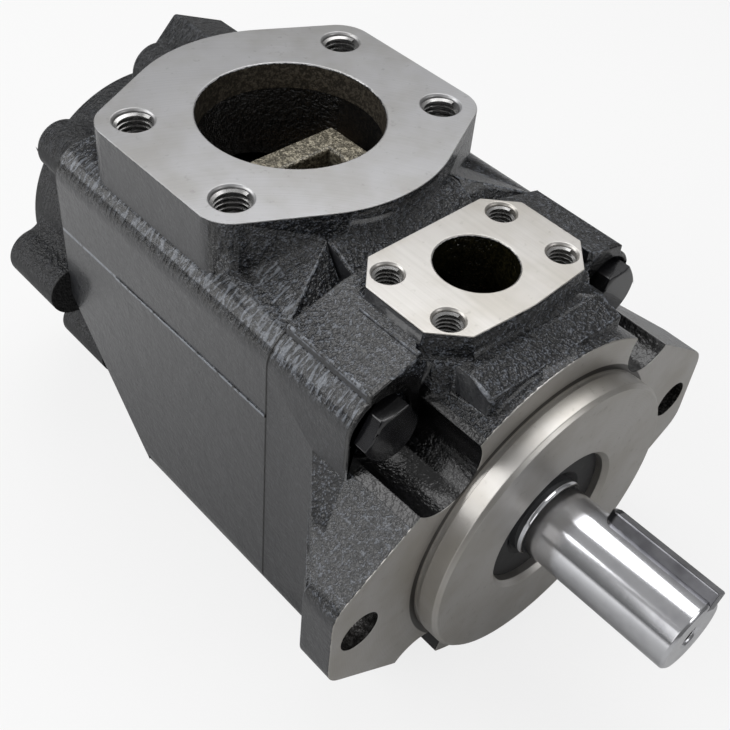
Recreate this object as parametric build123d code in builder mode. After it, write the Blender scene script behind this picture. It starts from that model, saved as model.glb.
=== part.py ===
from build123d import *
from math import cos, pi, radians, sin
import os

# Frame: the shaft runs along Y and leaves the pump towards -Y. The origin is the centre of the pilot on
# the mounting face. The suction port and the front pressure port look up, along +Z.

# Fits
FIT = 0.05  # radial clearance of located and running fits
SIDE_GAP = 0.03  # oil film beside a rotor or a vane
SEAT_GAP = 0.02  # play of a seat that is not loaded
CORD_GAP = 0.05  # play of a sealing ring in its groove

# Mounting flange
PILOT_R = 63.5
PILOT_H = 11.0
PILOT_CHAMFER = 1.5
UNDERCUT_W = 2.2
UNDERCUT_D = 1.2
MOUNT_SPACING = 181.0
MOUNT_HOLE_R = 8.75
FLANGE_T = 16.0
DISC_R = 77.0
EAR_MARGIN = 13.5
EAR_HALF_H = 26.0
EAR_CORNER_R = 12.0
GUSSET_L = 32.0
GUSSET_INSET = 3.0
SPOT_FACE_R = 16.0

# Body section and lengths
BODY_HALF_W = 74.0
BODY_HALF_H = 76.0
BODY_CORNER_R = 14.5
CAP_L = 74.0
HOUSING_L = 139.0
SHOULDER_Y = 30.0
PLATFORM_INSET = 8.0
PLATFORM_STEP = 2.0
PLATFORM_RISE = 9.0
REAR_FACET_X = 22.0
REAR_FACET_Y = 63.0

# Front cap bolts
BOLT_INSET_X = 14.5
BOLT_INSET_Z = 16.0
BOLT_R = 7.0
BOLT_HOLE_R = 7.75
BOLT_GRIP_IN_HOUSING = 26.0
HEAD_FLATS = 22.0
HEAD_H = 9.5
HEAD_RECESS = 3.0
HEAD_RECESS_R = 13.4
NOTCH_R = 15.5
NOTCH_INSET = 3.5
THREAD_RUNOUT = 4.0

# Suction port
SUCTION_PAD_H = 22.0
SUCTION_Y = 152.0
SUCTION_R = 38.1
SUCTION_SPACING_X = 106.4
SUCTION_SPACING_Y = 61.9
SUCTION_THREAD_R = 7.94
SUCTION_THREAD_DEPTH = 28.0
SUCTION_PAD_R = 66.7
SUCTION_EAR_R = 15.0
SUCTION_BORE_L = 12.0
SUCTION_GALLERY_R = 41.0
SUCTION_FLOOR = 50.0
SUCTION_WEB_DEPTH = 18.0
BRANCH_X = 20.0
BRANCH_GAP = 2.0
SUCTION_OVERHANG_T = 12.0
WEB_RISE = 5.0
WEB_DROP = 10.0
WEB_OVERLAP = 4.0

# Front pressure port
P1_PAD_H = 14.0
P1_Y = 48.0
P1_R = 15.875
P1_SPACING_X = 58.7
P1_SPACING_Y = 30.2
P1_BORE_L = 36.0
P1_THROAT_R = 13.5
P1_THREAD_R = 5.56
P1_THREAD_DEPTH = 24.0
P1_EAR_R = 11.0
P1_BULGE = 2.0
P1_DRAFT = 6.0
P1_BREAKTHROUGH = 5.5
SLOPE_START = 5.0
SLOPE_INSET = 0.5
SLOPE_RISE = 4.0
SLOPE_TOP_RISE = 6.0
SLOPE_MARGIN = 5.5

# Rear pressure port
P2_X = 88.0
P2_BACK = 34.0
P2_R = 12.7
P2_SPACING_Y = 26.2
P2_SPACING_Z = 52.4
P2_THREAD_R = 4.76
P2_THREAD_DEPTH = 20.0
P2_EAR_R = 11.0

# Rear cap
LOBE_COUNT = 8
SCREW_LOBES = (1, 3, 5, 7)
LOBE_CIRCLE_R = 72.0
LOBE_R = 12.0
LOBE_FILLET = 9.0
REAR_PLATE_R = 68.0
REAR_PLATE_L = 36.0
REAR_HUB_R = 60.0
REAR_HUB_L = 60.0
REAR_HUB_CHAMFER = 6.0
SHOULDER_BLOCK_START = 19.0
SHOULDER_BLOCK_INSET = 1.0
RIDGE_X = 28.0
RIDGE_Z = 80.0

# Rear cap screws
SCREW_R = 6.0
SCREW_HOLE_R = 6.5
SCREW_HEAD_R = 9.0
SCREW_HEAD_H = 12.0
SCREW_HEAD_GAP = 1.0
SCREW_KEY_FLATS = 10.0
SCREW_KEY_DEPTH = 6.0
SCREW_SINK = 13.0
SCREW_GRIP_IN_HOUSING = 22.0

# Chamfers and casting details
PORT_CHAMFER = 1.0
THREAD_CHAMFER = 0.8
EDGE_SOFT = 1.5
FLASH_W = 1.2
FLASH_H = 0.5
FLASH_Z = 36.0
FLASH_L = 98.0

# Shaft
SHAFT_OUT = 77.0
SHAFT_R = 15.875
SHAFT_CHAMFER = 1.2
KEY_W = 7.94
KEY_H = 7.94
KEY_L = 45.0
KEY_ANGLE = 55.0
CENTRE_HOLE_R = 4.76
CENTRE_HOLE_DEPTH = 22.0
COLLAR_R = 17.5
COLLAR_OUT = 9.0
SHOULDER_R = 20.0
MIDDLE_R = 17.5
REAR_NECK_R = 15.0
TAIL_R = 12.5
SPLINE_TEETH = 12
SPLINE_DEPTH = 1.8
SPLINE_TOOTH_W = 5.0
REAR_SPLINE_TIP_R = 17.0
REAR_SPLINE_TOOTH_W = 4.2

# Shaft seal and bearing
BEARING_OUTER_R = 31.0
BEARING_W = 14.0
BEARING_FRONT = 4.0
BEARING_PITCH_R = 24.25
BEARING_LAND = 3.0
BALL_R = 3.95
BALL_COUNT = 9
RACE_GAP = 0.10
CAGE_HALF_T = 1.3
CAGE_W = 10.4
BEARING_WALL = 10.0
SHAFT_PASSAGE_GAP = 2.0
CLIP_T = 1.8
CLIP_BITE = 1.5
CLIP_HEIGHT = 2.2
CLIP_OPENING = 9.0
SEAL_W = 7.5
SEAL_FRONT = -6.0
SEAL_CASE_T = 3.0
SEAL_WEB_T = 2.0
SEAL_LIP_T = 2.5
SEAL_LIP_L = 5.5
GARTER_R = 0.7
MOUTH_CHAMFER = 2.0

# Cartridges
VANE_COUNT = 10
VANE_T = 2.4
VANE_PLAY = 0.02
VANE_REST_ANGLE = 18.0
TIP_GAP = 0.1
ROTOR_GAP = 0.3
DWELL = 4.0
RISE = 62.0
CONTOUR_STEP = 5
FRONT_RING_R = 56.0
FRONT_RING_W = 38.0
FRONT_SMALL_R = 42.0
FRONT_STROKE = 4.5
FRONT_SLOT_ROOT = 26.0
FRONT_SIDE_T = 16.0
FRONT_PLATE_T = 18.0
FRONT_PLATE_R = 52.0
FRONT_PLATE_SUNK = 12.0
FRONT_NECK_R = 28.0
FRONT_NECK_L = 32.0
FRONT_BORE_R = 60.0
REAR_RING_R = 50.0
REAR_RING_W = 26.0
REAR_SMALL_R = 37.0
REAR_STROKE = 3.5
REAR_SLOT_ROOT = 22.0
REAR_SIDE_T = 12.0
REAR_PLATE_T = 18.0
REAR_PORT_PLATE_R = 47.0
REAR_PLATE_SUNK = 9.0
REAR_NECK_PLATE_R = 24.0
REAR_NECK_L = 15.0
REAR_BORE_R = 54.0
VANE_ROOT_GAP = 1.0
PIN_R = 2.5
PIN_BITE = 6.0
PIN_CIRCLE_INSET = 5.0
PIN_ANGLE = 8.0
TIE_HEAD_R = 4.0
TIE_HEAD_H = 3.5
TIE_HEAD_GAP = 0.2
KIDNEY_W = 7.0
KIDNEY_SPAN = 36.0
KIDNEY_ANGLE = -35.0
INLET_W = 24.0
INLET_DEPTH = 6.0
PLATE_CORD_R = 1.7
NECK_CORD_R = 1.3

# Cap sealing rings
FRONT_CORD_CIRCLE_R = 64.0
REAR_CORD_CIRCLE_R = 60.0
CORD_R = 1.6
CORD_GROOVE_HALF_W = 2.0

# Chambers
FRONT_CHAMBER_R = 44.0
FRONT_CHAMBER_L = 20.0
NECK_BORE_L = 12.0
WEB_T = 12.0
FRONT_POCKET_R = 46.0
REAR_POCKET_R = 42.0
REAR_CHAMBER_R = 40.0
REAR_CHAMBER_END = 15.0
BOSS_WALL = 6.0
NECK_SOCKET_L = 6.0
BUSH_T = 3.5
BUSH_L = 16.0
PASSAGE_HALF_W = 30.0
PASSAGE_DEPTH = 22.0

# Stations along the shaft, behind the mounting face, and heights over the shaft
housing_front = CAP_L
housing_rear = CAP_L + HOUSING_L
front_plate_start = housing_front - FRONT_PLATE_SUNK
front_ring_start = front_plate_start + FRONT_PLATE_T
front_ring_end = front_ring_start + FRONT_RING_W
front_side_end = front_ring_end + FRONT_SIDE_T
rear_plate_end = housing_rear + REAR_PLATE_SUNK
rear_ring_end = rear_plate_end - REAR_PLATE_T
rear_ring_start = rear_ring_end - REAR_RING_W
rear_side_start = rear_ring_start - REAR_SIDE_T
web_front = (front_side_end + rear_side_start - WEB_T) / 2
web_rear = web_front + WEB_T
rear_neck_end = rear_plate_end + REAR_NECK_L
rear_chamber_end = housing_rear + REAR_HUB_L - REAR_CHAMBER_END
bearing_end = BEARING_FRONT + BEARING_W
neck_bore_start = bearing_end + BEARING_WALL
chamber_start = neck_bore_start + NECK_BORE_L
chamber_end = chamber_start + FRONT_CHAMBER_L
bush_start = rear_neck_end + SEAT_GAP
bush_end = bush_start + BUSH_L
shaft_end = bush_end
head_seat = SHOULDER_Y + HEAD_RECESS
p2_y = housing_rear + P2_BACK
ear_x = MOUNT_SPACING / 2 + EAR_MARGIN
suction_top = BODY_HALF_H + SUCTION_PAD_H
p1_top = BODY_HALF_H + P1_PAD_H
bolt_x = BODY_HALF_W - BOLT_INSET_X
bolt_z = BODY_HALF_H - BOLT_INSET_Z
bolt_points = [(x, z) for x in (-bolt_x, bolt_x) for z in (-bolt_z, bolt_z)]
screw_angles = [radians(lobe * 360 / LOBE_COUNT) for lobe in SCREW_LOBES]
screw_points = [(LOBE_CIRCLE_R * cos(a), LOBE_CIRCLE_R * sin(a)) for a in screw_angles]

# The two pumping cartridges, front and rear. "facing" is 1 where the port plate is in front of the ring.
cartridges = {
    "front": dict(
        ring_start=front_ring_start,
        ring_end=front_ring_end,
        ring_r=FRONT_RING_R,
        small_r=FRONT_SMALL_R,
        stroke=FRONT_STROKE,
        slot_root=FRONT_SLOT_ROOT,
        spline_tip=SHOULDER_R,
        spline_tooth=SPLINE_TOOTH_W,
        facing=1,
        plate_t=FRONT_PLATE_T,
        plate_r=FRONT_PLATE_R,
        neck_r=FRONT_NECK_R,
        neck_l=FRONT_NECK_L,
        neck_bore=SHOULDER_R + ROTOR_GAP,
        side_t=FRONT_SIDE_T,
    ),
    "rear": dict(
        ring_start=rear_ring_start,
        ring_end=rear_ring_end,
        ring_r=REAR_RING_R,
        small_r=REAR_SMALL_R,
        stroke=REAR_STROKE,
        slot_root=REAR_SLOT_ROOT,
        spline_tip=REAR_SPLINE_TIP_R,
        spline_tooth=REAR_SPLINE_TOOTH_W,
        facing=-1,
        plate_t=REAR_PLATE_T,
        plate_r=REAR_PORT_PLATE_R,
        neck_r=REAR_NECK_PLATE_R,
        neck_l=REAR_NECK_L,
        neck_bore=REAR_NECK_R + ROTOR_GAP,
        side_t=REAR_SIDE_T,
    ),
}


def station(y):
    """Plane across the shaft, y behind the mounting face, with local x along +X and local y along +Z."""
    return Plane.XZ.offset(-y)


def save(piece, label):
    """Names a finished piece and writes its file."""
    piece.label = label
    export_step(piece, f"parts/{label}.step")


def turned(*points):
    """Face through (radius, station) points, to be turned about the shaft axis."""
    with BuildSketch(Plane.XY) as profile:
        with BuildLine():
            Polyline(*points, close=True)
        make_face()
    return profile.sketch


def band(inner_r, outer_r, start, end):
    """Rectangular profile between two radii and two stations."""
    return turned((inner_r, start), (outer_r, start), (outer_r, end), (inner_r, end))


def plug(radius, start, end):
    """Profile of a solid round length, from the shaft axis outwards."""
    return band(0, radius, start, end)


def cord(ring_r, cord_r, y):
    """Section of a sealing ring."""
    with BuildSketch(Plane.XY) as section:
        with Locations((ring_r, y)):
            Circle(cord_r)
    return section.sketch


def flange_outline(plane):
    """Two-bolt flange: a disc and two ears, drawn round as one hull."""
    with BuildSketch(plane) as outline:
        Circle(DISC_R)
        reach = ear_x - EAR_CORNER_R
        rise = EAR_HALF_H - EAR_CORNER_R
        with Locations((-reach, -rise), (-reach, rise), (reach, -rise), (reach, rise)):
            Circle(EAR_CORNER_R)
        make_hull()
    return outline.sketch


def body_section(plane):
    """Rounded rectangle that the front cap and the centre housing share."""
    with BuildSketch(plane) as section:
        RectangleRounded(2 * BODY_HALF_W, 2 * BODY_HALF_H, BODY_CORNER_R)
    return section.sketch


def underside(plane):
    """Everything below the flat belly of the body, so that the pump stands level."""
    with BuildSketch(plane) as below:
        with Locations((0, -2 * BODY_HALF_H)):
            Rectangle(4 * BODY_HALF_W, 2 * BODY_HALF_H)
    return below.sketch


def mouths(builder, axis, radius):
    """Round edges of one radius on the outermost flat face along an axis."""
    face = builder.faces().filter_by(axis).sort_by(axis)[-1]
    return [edge for edge in face.edges().filter_by(GeomType.CIRCLE) if abs(edge.radius - radius) < SEAT_GAP]


def rear_facet(side):
    """Slanted plane that trims a lower rear corner of the housing, from the shaft's height to the belly."""
    height = Vector(side * BODY_HALF_W, housing_rear, 0)
    front = Vector(side * BODY_HALF_W, housing_rear - REAR_FACET_Y, -BODY_HALF_H)
    inner = Vector(side * (BODY_HALF_W - REAR_FACET_X), housing_rear, -BODY_HALF_H)
    outwards = (front - height).cross(inner - height) * side
    return Plane(origin=height, x_dir=front - height, z_dir=outwards)


def suction_web():
    """L-shaped web that stands in the suction gallery, on the wall between the cartridges."""
    top = suction_top - SUCTION_WEB_DEPTH
    reach = SUCTION_GALLERY_R + WEB_OVERLAP
    branch_base = FRONT_BORE_R + BRANCH_GAP
    with BuildPart() as web:
        with BuildSketch(Plane.XY.offset(SUCTION_FLOOR - WEB_OVERLAP)):
            with Locations(((BRANCH_X + WEB_T / 2 - reach) / 2, web_front + WEB_T / 2)):
                Rectangle(BRANCH_X + WEB_T / 2 + reach, WEB_T)
        extrude(amount=top - SUCTION_FLOOR + WEB_OVERLAP)
        with BuildSketch(Plane.XY.offset(branch_base)):
            with Locations((BRANCH_X, web_rear - SUCTION_GALLERY_R / 2)):
                Rectangle(WEB_T, SUCTION_GALLERY_R)
        extrude(amount=top - branch_base)
        fillet(web.edges().group_by(Axis.Z)[-1], EDGE_SOFT)
    return web.part


def notch(plane):
    """Outlines of the four notches that clear the heads of the front cap bolts."""
    with BuildSketch(plane) as outline:
        for x, z in bolt_points:
            side = 1 if x > 0 else -1
            rise = 1 if z > 0 else -1
            with BuildSketch(plane, mode=Mode.PRIVATE) as one:
                with Locations((x - side * NOTCH_INSET, z - rise * NOTCH_INSET)):
                    Circle(NOTCH_R)
                with Locations((x + side * DISC_R / 2, z + rise * DISC_R / 2)):
                    Circle(NOTCH_R)
                make_hull()
            add(one.sketch_local)
    return outline.sketch


def port_pad(plane, spacing_x, spacing_y, ear_r, round_r):
    """Outline of a four-bolt port pad: the ears at its holes and the round middle, as one hull."""
    with BuildSketch(plane) as outline:
        Circle(round_r)
        with GridLocations(spacing_x, spacing_y, 2, 2):
            Circle(ear_r)
        make_hull()
    return outline.sketch


def suction_plane(z):
    """Level plane centred on the suction port."""
    return Plane((0, SUCTION_Y, z))


def p1_plane(z):
    """Level plane centred on the front pressure port."""
    return Plane((0, P1_Y, z))


def p2_plane(x):
    """Upright plane centred on the rear pressure port, looking along +X, local x along Y."""
    return Plane((x, p2_y, 0), x_dir=(0, 1, 0), z_dir=(1, 0, 0))


def splined(plane, tip_r, tooth_w, grow):
    """Section of a straight-sided spline, grown all round by grow."""
    with BuildSketch(plane) as section:
        with PolarLocations(tip_r / 2, SPLINE_TEETH):
            Rectangle(tip_r, tooth_w + 2 * grow)
        Circle(tip_r + grow, mode=Mode.INTERSECT)
        Circle(tip_r - SPLINE_DEPTH + grow)
    return section.sketch


def contour_radius(small_r, stroke, degrees):
    """Radius of a cam ring's two-lobed inner wall: a dwell, a smooth rise and a wide dwell."""
    turn = degrees % 180
    turn = min(turn, 180 - turn)
    share = min(max((turn - DWELL) / RISE, 0), 1)
    return small_r + stroke * (1 - cos(pi * share)) / 2


def contour(plane, small_r, stroke):
    """Inner outline of a cam ring."""
    angles = range(0, 360, CONTOUR_STEP)
    radii = [contour_radius(small_r, stroke, a) for a in angles]
    points = [(r * cos(radians(a)), r * sin(radians(a))) for r, a in zip(radii, angles)]
    with BuildSketch(plane) as outline:
        with BuildLine():
            Spline(*points, periodic=True)
        make_face()
    return outline.sketch


def pin_points(ring_r, angle):
    """Two opposite places on the pin circle of a cam ring."""
    r = ring_r - PIN_CIRCLE_INSET
    return [(r * cos(radians(a)), r * sin(radians(a))) for a in (angle, angle + 180)]


def circles(plane, points, radius):
    """Equal circles at the given places of a plane."""
    with BuildSketch(plane) as spots:
        with Locations(*points):
            Circle(radius)
    return spots.sketch


def kidneys(plane, mean_r, width, angle):
    """Two opposite arc-shaped slots."""
    with BuildSketch(plane) as slots:
        for middle in (angle, angle + 180):
            SlotArc(CenterArc((0, 0), mean_r, middle - KIDNEY_SPAN / 2, KIDNEY_SPAN), width)
    return slots.sketch


def clip_ring(inner_r, outer_r):
    """Retaining ring in front of the bearing: a flat ring with an opening at the bottom."""
    start = BEARING_FRONT - CLIP_T + SEAT_GAP
    end = BEARING_FRONT - SEAT_GAP
    with BuildPart() as clip:
        revolve(band(inner_r, outer_r, start, end), axis=Axis.Y)
        with BuildSketch(station(start)):
            with Locations((0, -outer_r)):
                Rectangle(CLIP_OPENING, 2 * outer_r - inner_r)
        extrude(amount=-(end - start), mode=Mode.SUBTRACT)
    return clip.part


def front_cap():
    """Front cover with the mounting flange, the pilot, the bearing seat and the front pressure port."""
    with BuildPart() as webs:
        extrude(flange_outline(station(FLANGE_T)), amount=-GUSSET_L)
        with BuildSketch(Plane.XY):
            with BuildLine():
                Polyline(
                    (GUSSET_INSET - ear_x, FLANGE_T),
                    (ear_x - GUSSET_INSET, FLANGE_T),
                    (BODY_HALF_W, FLANGE_T + GUSSET_L),
                    (-BODY_HALF_W, FLANGE_T + GUSSET_L),
                    close=True,
                )
            make_face()
        extrude(amount=DISC_R, both=True, mode=Mode.INTERSECT)
    with BuildPart() as cap:
        extrude(flange_outline(station(0)), amount=-FLANGE_T)
        add(webs.part)
        extrude(body_section(station(SHOULDER_Y)), amount=-(CAP_L - SHOULDER_Y))
        revolve(plug(DISC_R, 0, SHOULDER_Y + HEAD_RECESS), axis=Axis.Y)
        # raised platforms over the bolts, up to just below the port face
        outer = BODY_HALF_W - PLATFORM_INSET
        inner = P1_SPACING_X / 2 + P1_EAR_R
        with BuildSketch(station(SHOULDER_Y)):
            with BuildLine():
                Polyline(
                    (-outer, BODY_HALF_H - BODY_CORNER_R),
                    (-outer, BODY_HALF_H + PLATFORM_STEP),
                    (-inner, BODY_HALF_H + PLATFORM_RISE),
                    (inner, BODY_HALF_H + PLATFORM_RISE),
                    (outer, BODY_HALF_H + PLATFORM_STEP),
                    (outer, BODY_HALF_H - BODY_CORNER_R),
                    close=True,
                )
            make_face()
        extrude(amount=-(CAP_L - SHOULDER_Y))
        round_r = P1_SPACING_Y / 2 + P1_EAR_R + P1_BULGE
        extrude(
            port_pad(p1_plane(p1_top), P1_SPACING_X, P1_SPACING_Y, P1_EAR_R, round_r),
            amount=-(p1_top - BODY_HALF_H + BODY_CORNER_R),
            taper=-P1_DRAFT,
        )
        # sloping front of the port block, down to the rim of the flange
        with BuildSketch(Plane.YZ):
            with BuildLine():
                Polyline(
                    (SLOPE_START, DISC_R - BODY_CORNER_R),
                    (SLOPE_START, DISC_R - SLOPE_INSET),
                    (FLANGE_T, BODY_HALF_H + SLOPE_RISE),
                    (P1_Y, BODY_HALF_H + SLOPE_TOP_RISE),
                    (P1_Y, DISC_R - BODY_CORNER_R),
                    close=True,
                )
            make_face()
        extrude(amount=P1_SPACING_X / 2 + SLOPE_MARGIN, both=True)
        # nothing of the port block stands over the centre housing
        with BuildSketch(station(CAP_L)):
            Rectangle(4 * BODY_HALF_W, 4 * BODY_HALF_H)
        extrude(amount=-FLANGE_T, mode=Mode.SUBTRACT)
        extrude(notch(station(0)), amount=-SHOULDER_Y, mode=Mode.SUBTRACT)
        extrude(underside(station(0)), amount=-CAP_L, mode=Mode.SUBTRACT)
        # pilot with its undercut
        revolve(
            turned(
                (0, FLANGE_T),
                (0, -PILOT_H),
                (PILOT_R - PILOT_CHAMFER, -PILOT_H),
                (PILOT_R, PILOT_CHAMFER - PILOT_H),
                (PILOT_R, -UNDERCUT_W),
                (PILOT_R - UNDERCUT_D, -UNDERCUT_W),
                (PILOT_R - UNDERCUT_D, FLANGE_T),
            ),
            axis=Axis.Y,
        )
        # seal and bearing bore, wall, neck bore, pressure chamber and plate bore
        revolve(
            turned(
                (0, -PILOT_H),
                (BEARING_OUTER_R + MOUTH_CHAMFER, -PILOT_H),
                (BEARING_OUTER_R, MOUTH_CHAMFER - PILOT_H),
                (BEARING_OUTER_R, bearing_end),
                (SHOULDER_R + SHAFT_PASSAGE_GAP, bearing_end),
                (SHOULDER_R + SHAFT_PASSAGE_GAP, neck_bore_start),
                (FRONT_NECK_R, neck_bore_start),
                (FRONT_NECK_R, chamber_start),
                (FRONT_CHAMBER_R, chamber_start),
                (FRONT_CHAMBER_R, chamber_end),
                (FRONT_PLATE_R, chamber_end),
                (FRONT_PLATE_R, CAP_L),
                (0, CAP_L),
            ),
            axis=Axis.Y,
            mode=Mode.SUBTRACT,
        )
        revolve(
            plug(BEARING_OUTER_R + CLIP_BITE, BEARING_FRONT - CLIP_T, BEARING_FRONT),
            axis=Axis.Y,
            mode=Mode.SUBTRACT,
        )
        revolve(
            band(
                FRONT_CORD_CIRCLE_R - CORD_GROOVE_HALF_W,
                FRONT_CORD_CIRCLE_R + CORD_GROOVE_HALF_W,
                CAP_L - 2 * CORD_R - CORD_GAP,
                CAP_L,
            ),
            axis=Axis.Y,
            mode=Mode.SUBTRACT,
        )
        # bolt holes with their sunk seats, and the mounting holes with flat faces behind the ears
        extrude(circles(station(SHOULDER_Y), bolt_points, BOLT_HOLE_R), amount=-CAP_L, mode=Mode.SUBTRACT)
        seats = circles(station(SHOULDER_Y), bolt_points, HEAD_RECESS_R)
        extrude(seats, amount=-HEAD_RECESS, mode=Mode.SUBTRACT)
        mounts = [(-MOUNT_SPACING / 2, 0), (MOUNT_SPACING / 2, 0)]
        extrude(circles(station(0), mounts, MOUNT_HOLE_R), amount=-FLANGE_T, mode=Mode.SUBTRACT)
        extrude(circles(station(FLANGE_T), mounts, SPOT_FACE_R), amount=-GUSSET_L, mode=Mode.SUBTRACT)
        # front pressure port
        with BuildSketch(p1_plane(p1_top)):
            Circle(P1_R)
        extrude(amount=-P1_BORE_L, mode=Mode.SUBTRACT)
        with BuildSketch(p1_plane(p1_top - P1_BORE_L)):
            Circle(P1_THROAT_R)
        extrude(amount=-(p1_top - P1_BORE_L - FRONT_CHAMBER_R + P1_BREAKTHROUGH), mode=Mode.SUBTRACT)
        with BuildSketch(p1_plane(p1_top)):
            with GridLocations(P1_SPACING_X, P1_SPACING_Y, 2, 2):
                Circle(P1_THREAD_R)
        extrude(amount=-P1_THREAD_DEPTH, mode=Mode.SUBTRACT)
        chamfer(mouths(cap, Axis.Z, P1_THREAD_R), THREAD_CHAMFER)
        chamfer(mouths(cap, Axis.Z, P1_R), EDGE_SOFT / 3)
    return cap.part


def centre_housing():
    """Main casting: the two cartridge bores, the suction gallery between them and the suction port."""
    with BuildPart() as housing:
        extrude(body_section(station(housing_front)), amount=-HOUSING_L)
        extrude(
            port_pad(
                suction_plane(suction_top), SUCTION_SPACING_X, SUCTION_SPACING_Y, SUCTION_EAR_R, SUCTION_PAD_R
            ),
            amount=-(suction_top - BODY_HALF_H + BODY_CORNER_R),
        )
        # sloping web between the suction pad and the front cap
        with BuildSketch(Plane.YZ):
            with BuildLine():
                Polyline(
                    (housing_front, BODY_HALF_H - BODY_CORNER_R),
                    (housing_front, BODY_HALF_H + WEB_RISE),
                    (SUCTION_Y - SUCTION_PAD_R + WEB_OVERLAP, suction_top - WEB_DROP),
                    (SUCTION_Y - SUCTION_PAD_R / 2, suction_top - WEB_DROP),
                    (SUCTION_Y - SUCTION_PAD_R / 2, BODY_HALF_H - BODY_CORNER_R),
                    close=True,
                )
            make_face()
        extrude(amount=SUCTION_PAD_R / 2, both=True)
        # thin line that the mould left on each side
        with BuildSketch(Plane.XY.offset(FLASH_Z)):
            with Locations((0, housing_front + FLASH_L / 2)):
                Rectangle(2 * (BODY_HALF_W + FLASH_H), FLASH_L)
        extrude(amount=FLASH_W)
        for side in (-1, 1):
            with BuildSketch(rear_facet(side)):
                Rectangle(4 * BODY_HALF_H, 4 * BODY_HALF_H)
            extrude(amount=BODY_HALF_W, mode=Mode.SUBTRACT)
        # under its overhang the suction pad stays clear of the rear cap
        with BuildSketch(Plane.XY.offset(suction_top - SUCTION_OVERHANG_T)):
            with Locations((0, housing_rear + SUCTION_PAD_R / 2)):
                Rectangle(4 * BODY_HALF_W, SUCTION_PAD_R)
        extrude(amount=-4 * BODY_HALF_H, mode=Mode.SUBTRACT)
        # cartridge bores with a web between them, and the suction gallery down to both
        revolve(
            turned(
                (0, housing_front),
                (FRONT_BORE_R, housing_front),
                (FRONT_BORE_R, front_side_end),
                (FRONT_POCKET_R, front_side_end),
                (FRONT_POCKET_R, web_front),
                (SHOULDER_R + SHAFT_PASSAGE_GAP, web_front),
                (SHOULDER_R + SHAFT_PASSAGE_GAP, web_rear),
                (REAR_POCKET_R, web_rear),
                (REAR_POCKET_R, rear_side_start),
                (REAR_BORE_R, rear_side_start),
                (REAR_BORE_R, housing_rear),
                (0, housing_rear),
            ),
            axis=Axis.Y,
            mode=Mode.SUBTRACT,
        )
        with BuildSketch(suction_plane(suction_top)):
            Circle(SUCTION_R)
        extrude(amount=-SUCTION_BORE_L, mode=Mode.SUBTRACT)
        with BuildSketch(suction_plane(suction_top - SUCTION_BORE_L)):
            Circle(SUCTION_GALLERY_R)
        extrude(amount=-(suction_top - SUCTION_BORE_L - SUCTION_FLOOR), mode=Mode.SUBTRACT)
        add(suction_web())
        for start, end in ((front_side_end, web_front), (web_rear, rear_side_start)):
            with BuildSketch(Plane.XY.offset(SUCTION_FLOOR)):
                with Locations((0, (start + end) / 2)):
                    Rectangle(2 * PASSAGE_HALF_W, end - start)
            extrude(amount=-PASSAGE_DEPTH, mode=Mode.SUBTRACT)
        # threaded holes for the suction flange, the front cap bolts and the rear cap screws
        with BuildSketch(suction_plane(suction_top)):
            with GridLocations(SUCTION_SPACING_X, SUCTION_SPACING_Y, 2, 2):
                Circle(SUCTION_THREAD_R)
        extrude(amount=-SUCTION_THREAD_DEPTH, mode=Mode.SUBTRACT)
        chamfer(mouths(housing, Axis.Z, SUCTION_THREAD_R), THREAD_CHAMFER)
        chamfer(mouths(housing, Axis.Z, SUCTION_R), EDGE_SOFT / 3)
        depth = BOLT_GRIP_IN_HOUSING + THREAD_RUNOUT
        extrude(circles(station(housing_front), bolt_points, BOLT_R + FIT), amount=-depth, mode=Mode.SUBTRACT)
        depth = SCREW_GRIP_IN_HOUSING + THREAD_RUNOUT
        tapped = circles(station(housing_rear - depth), screw_points, SCREW_R + FIT)
        extrude(tapped, amount=-depth, mode=Mode.SUBTRACT)
    return housing.part


def lobed_outline(plane):
    """Outline of the rear cap: a disc with evenly spaced lobes, blended into each other."""
    with BuildSketch(plane) as outline:
        Circle(REAR_PLATE_R)
        with PolarLocations(LOBE_CIRCLE_R, LOBE_COUNT):
            Circle(LOBE_R)
        fillet(outline.vertices(), LOBE_FILLET)
    return outline.sketch


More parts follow.
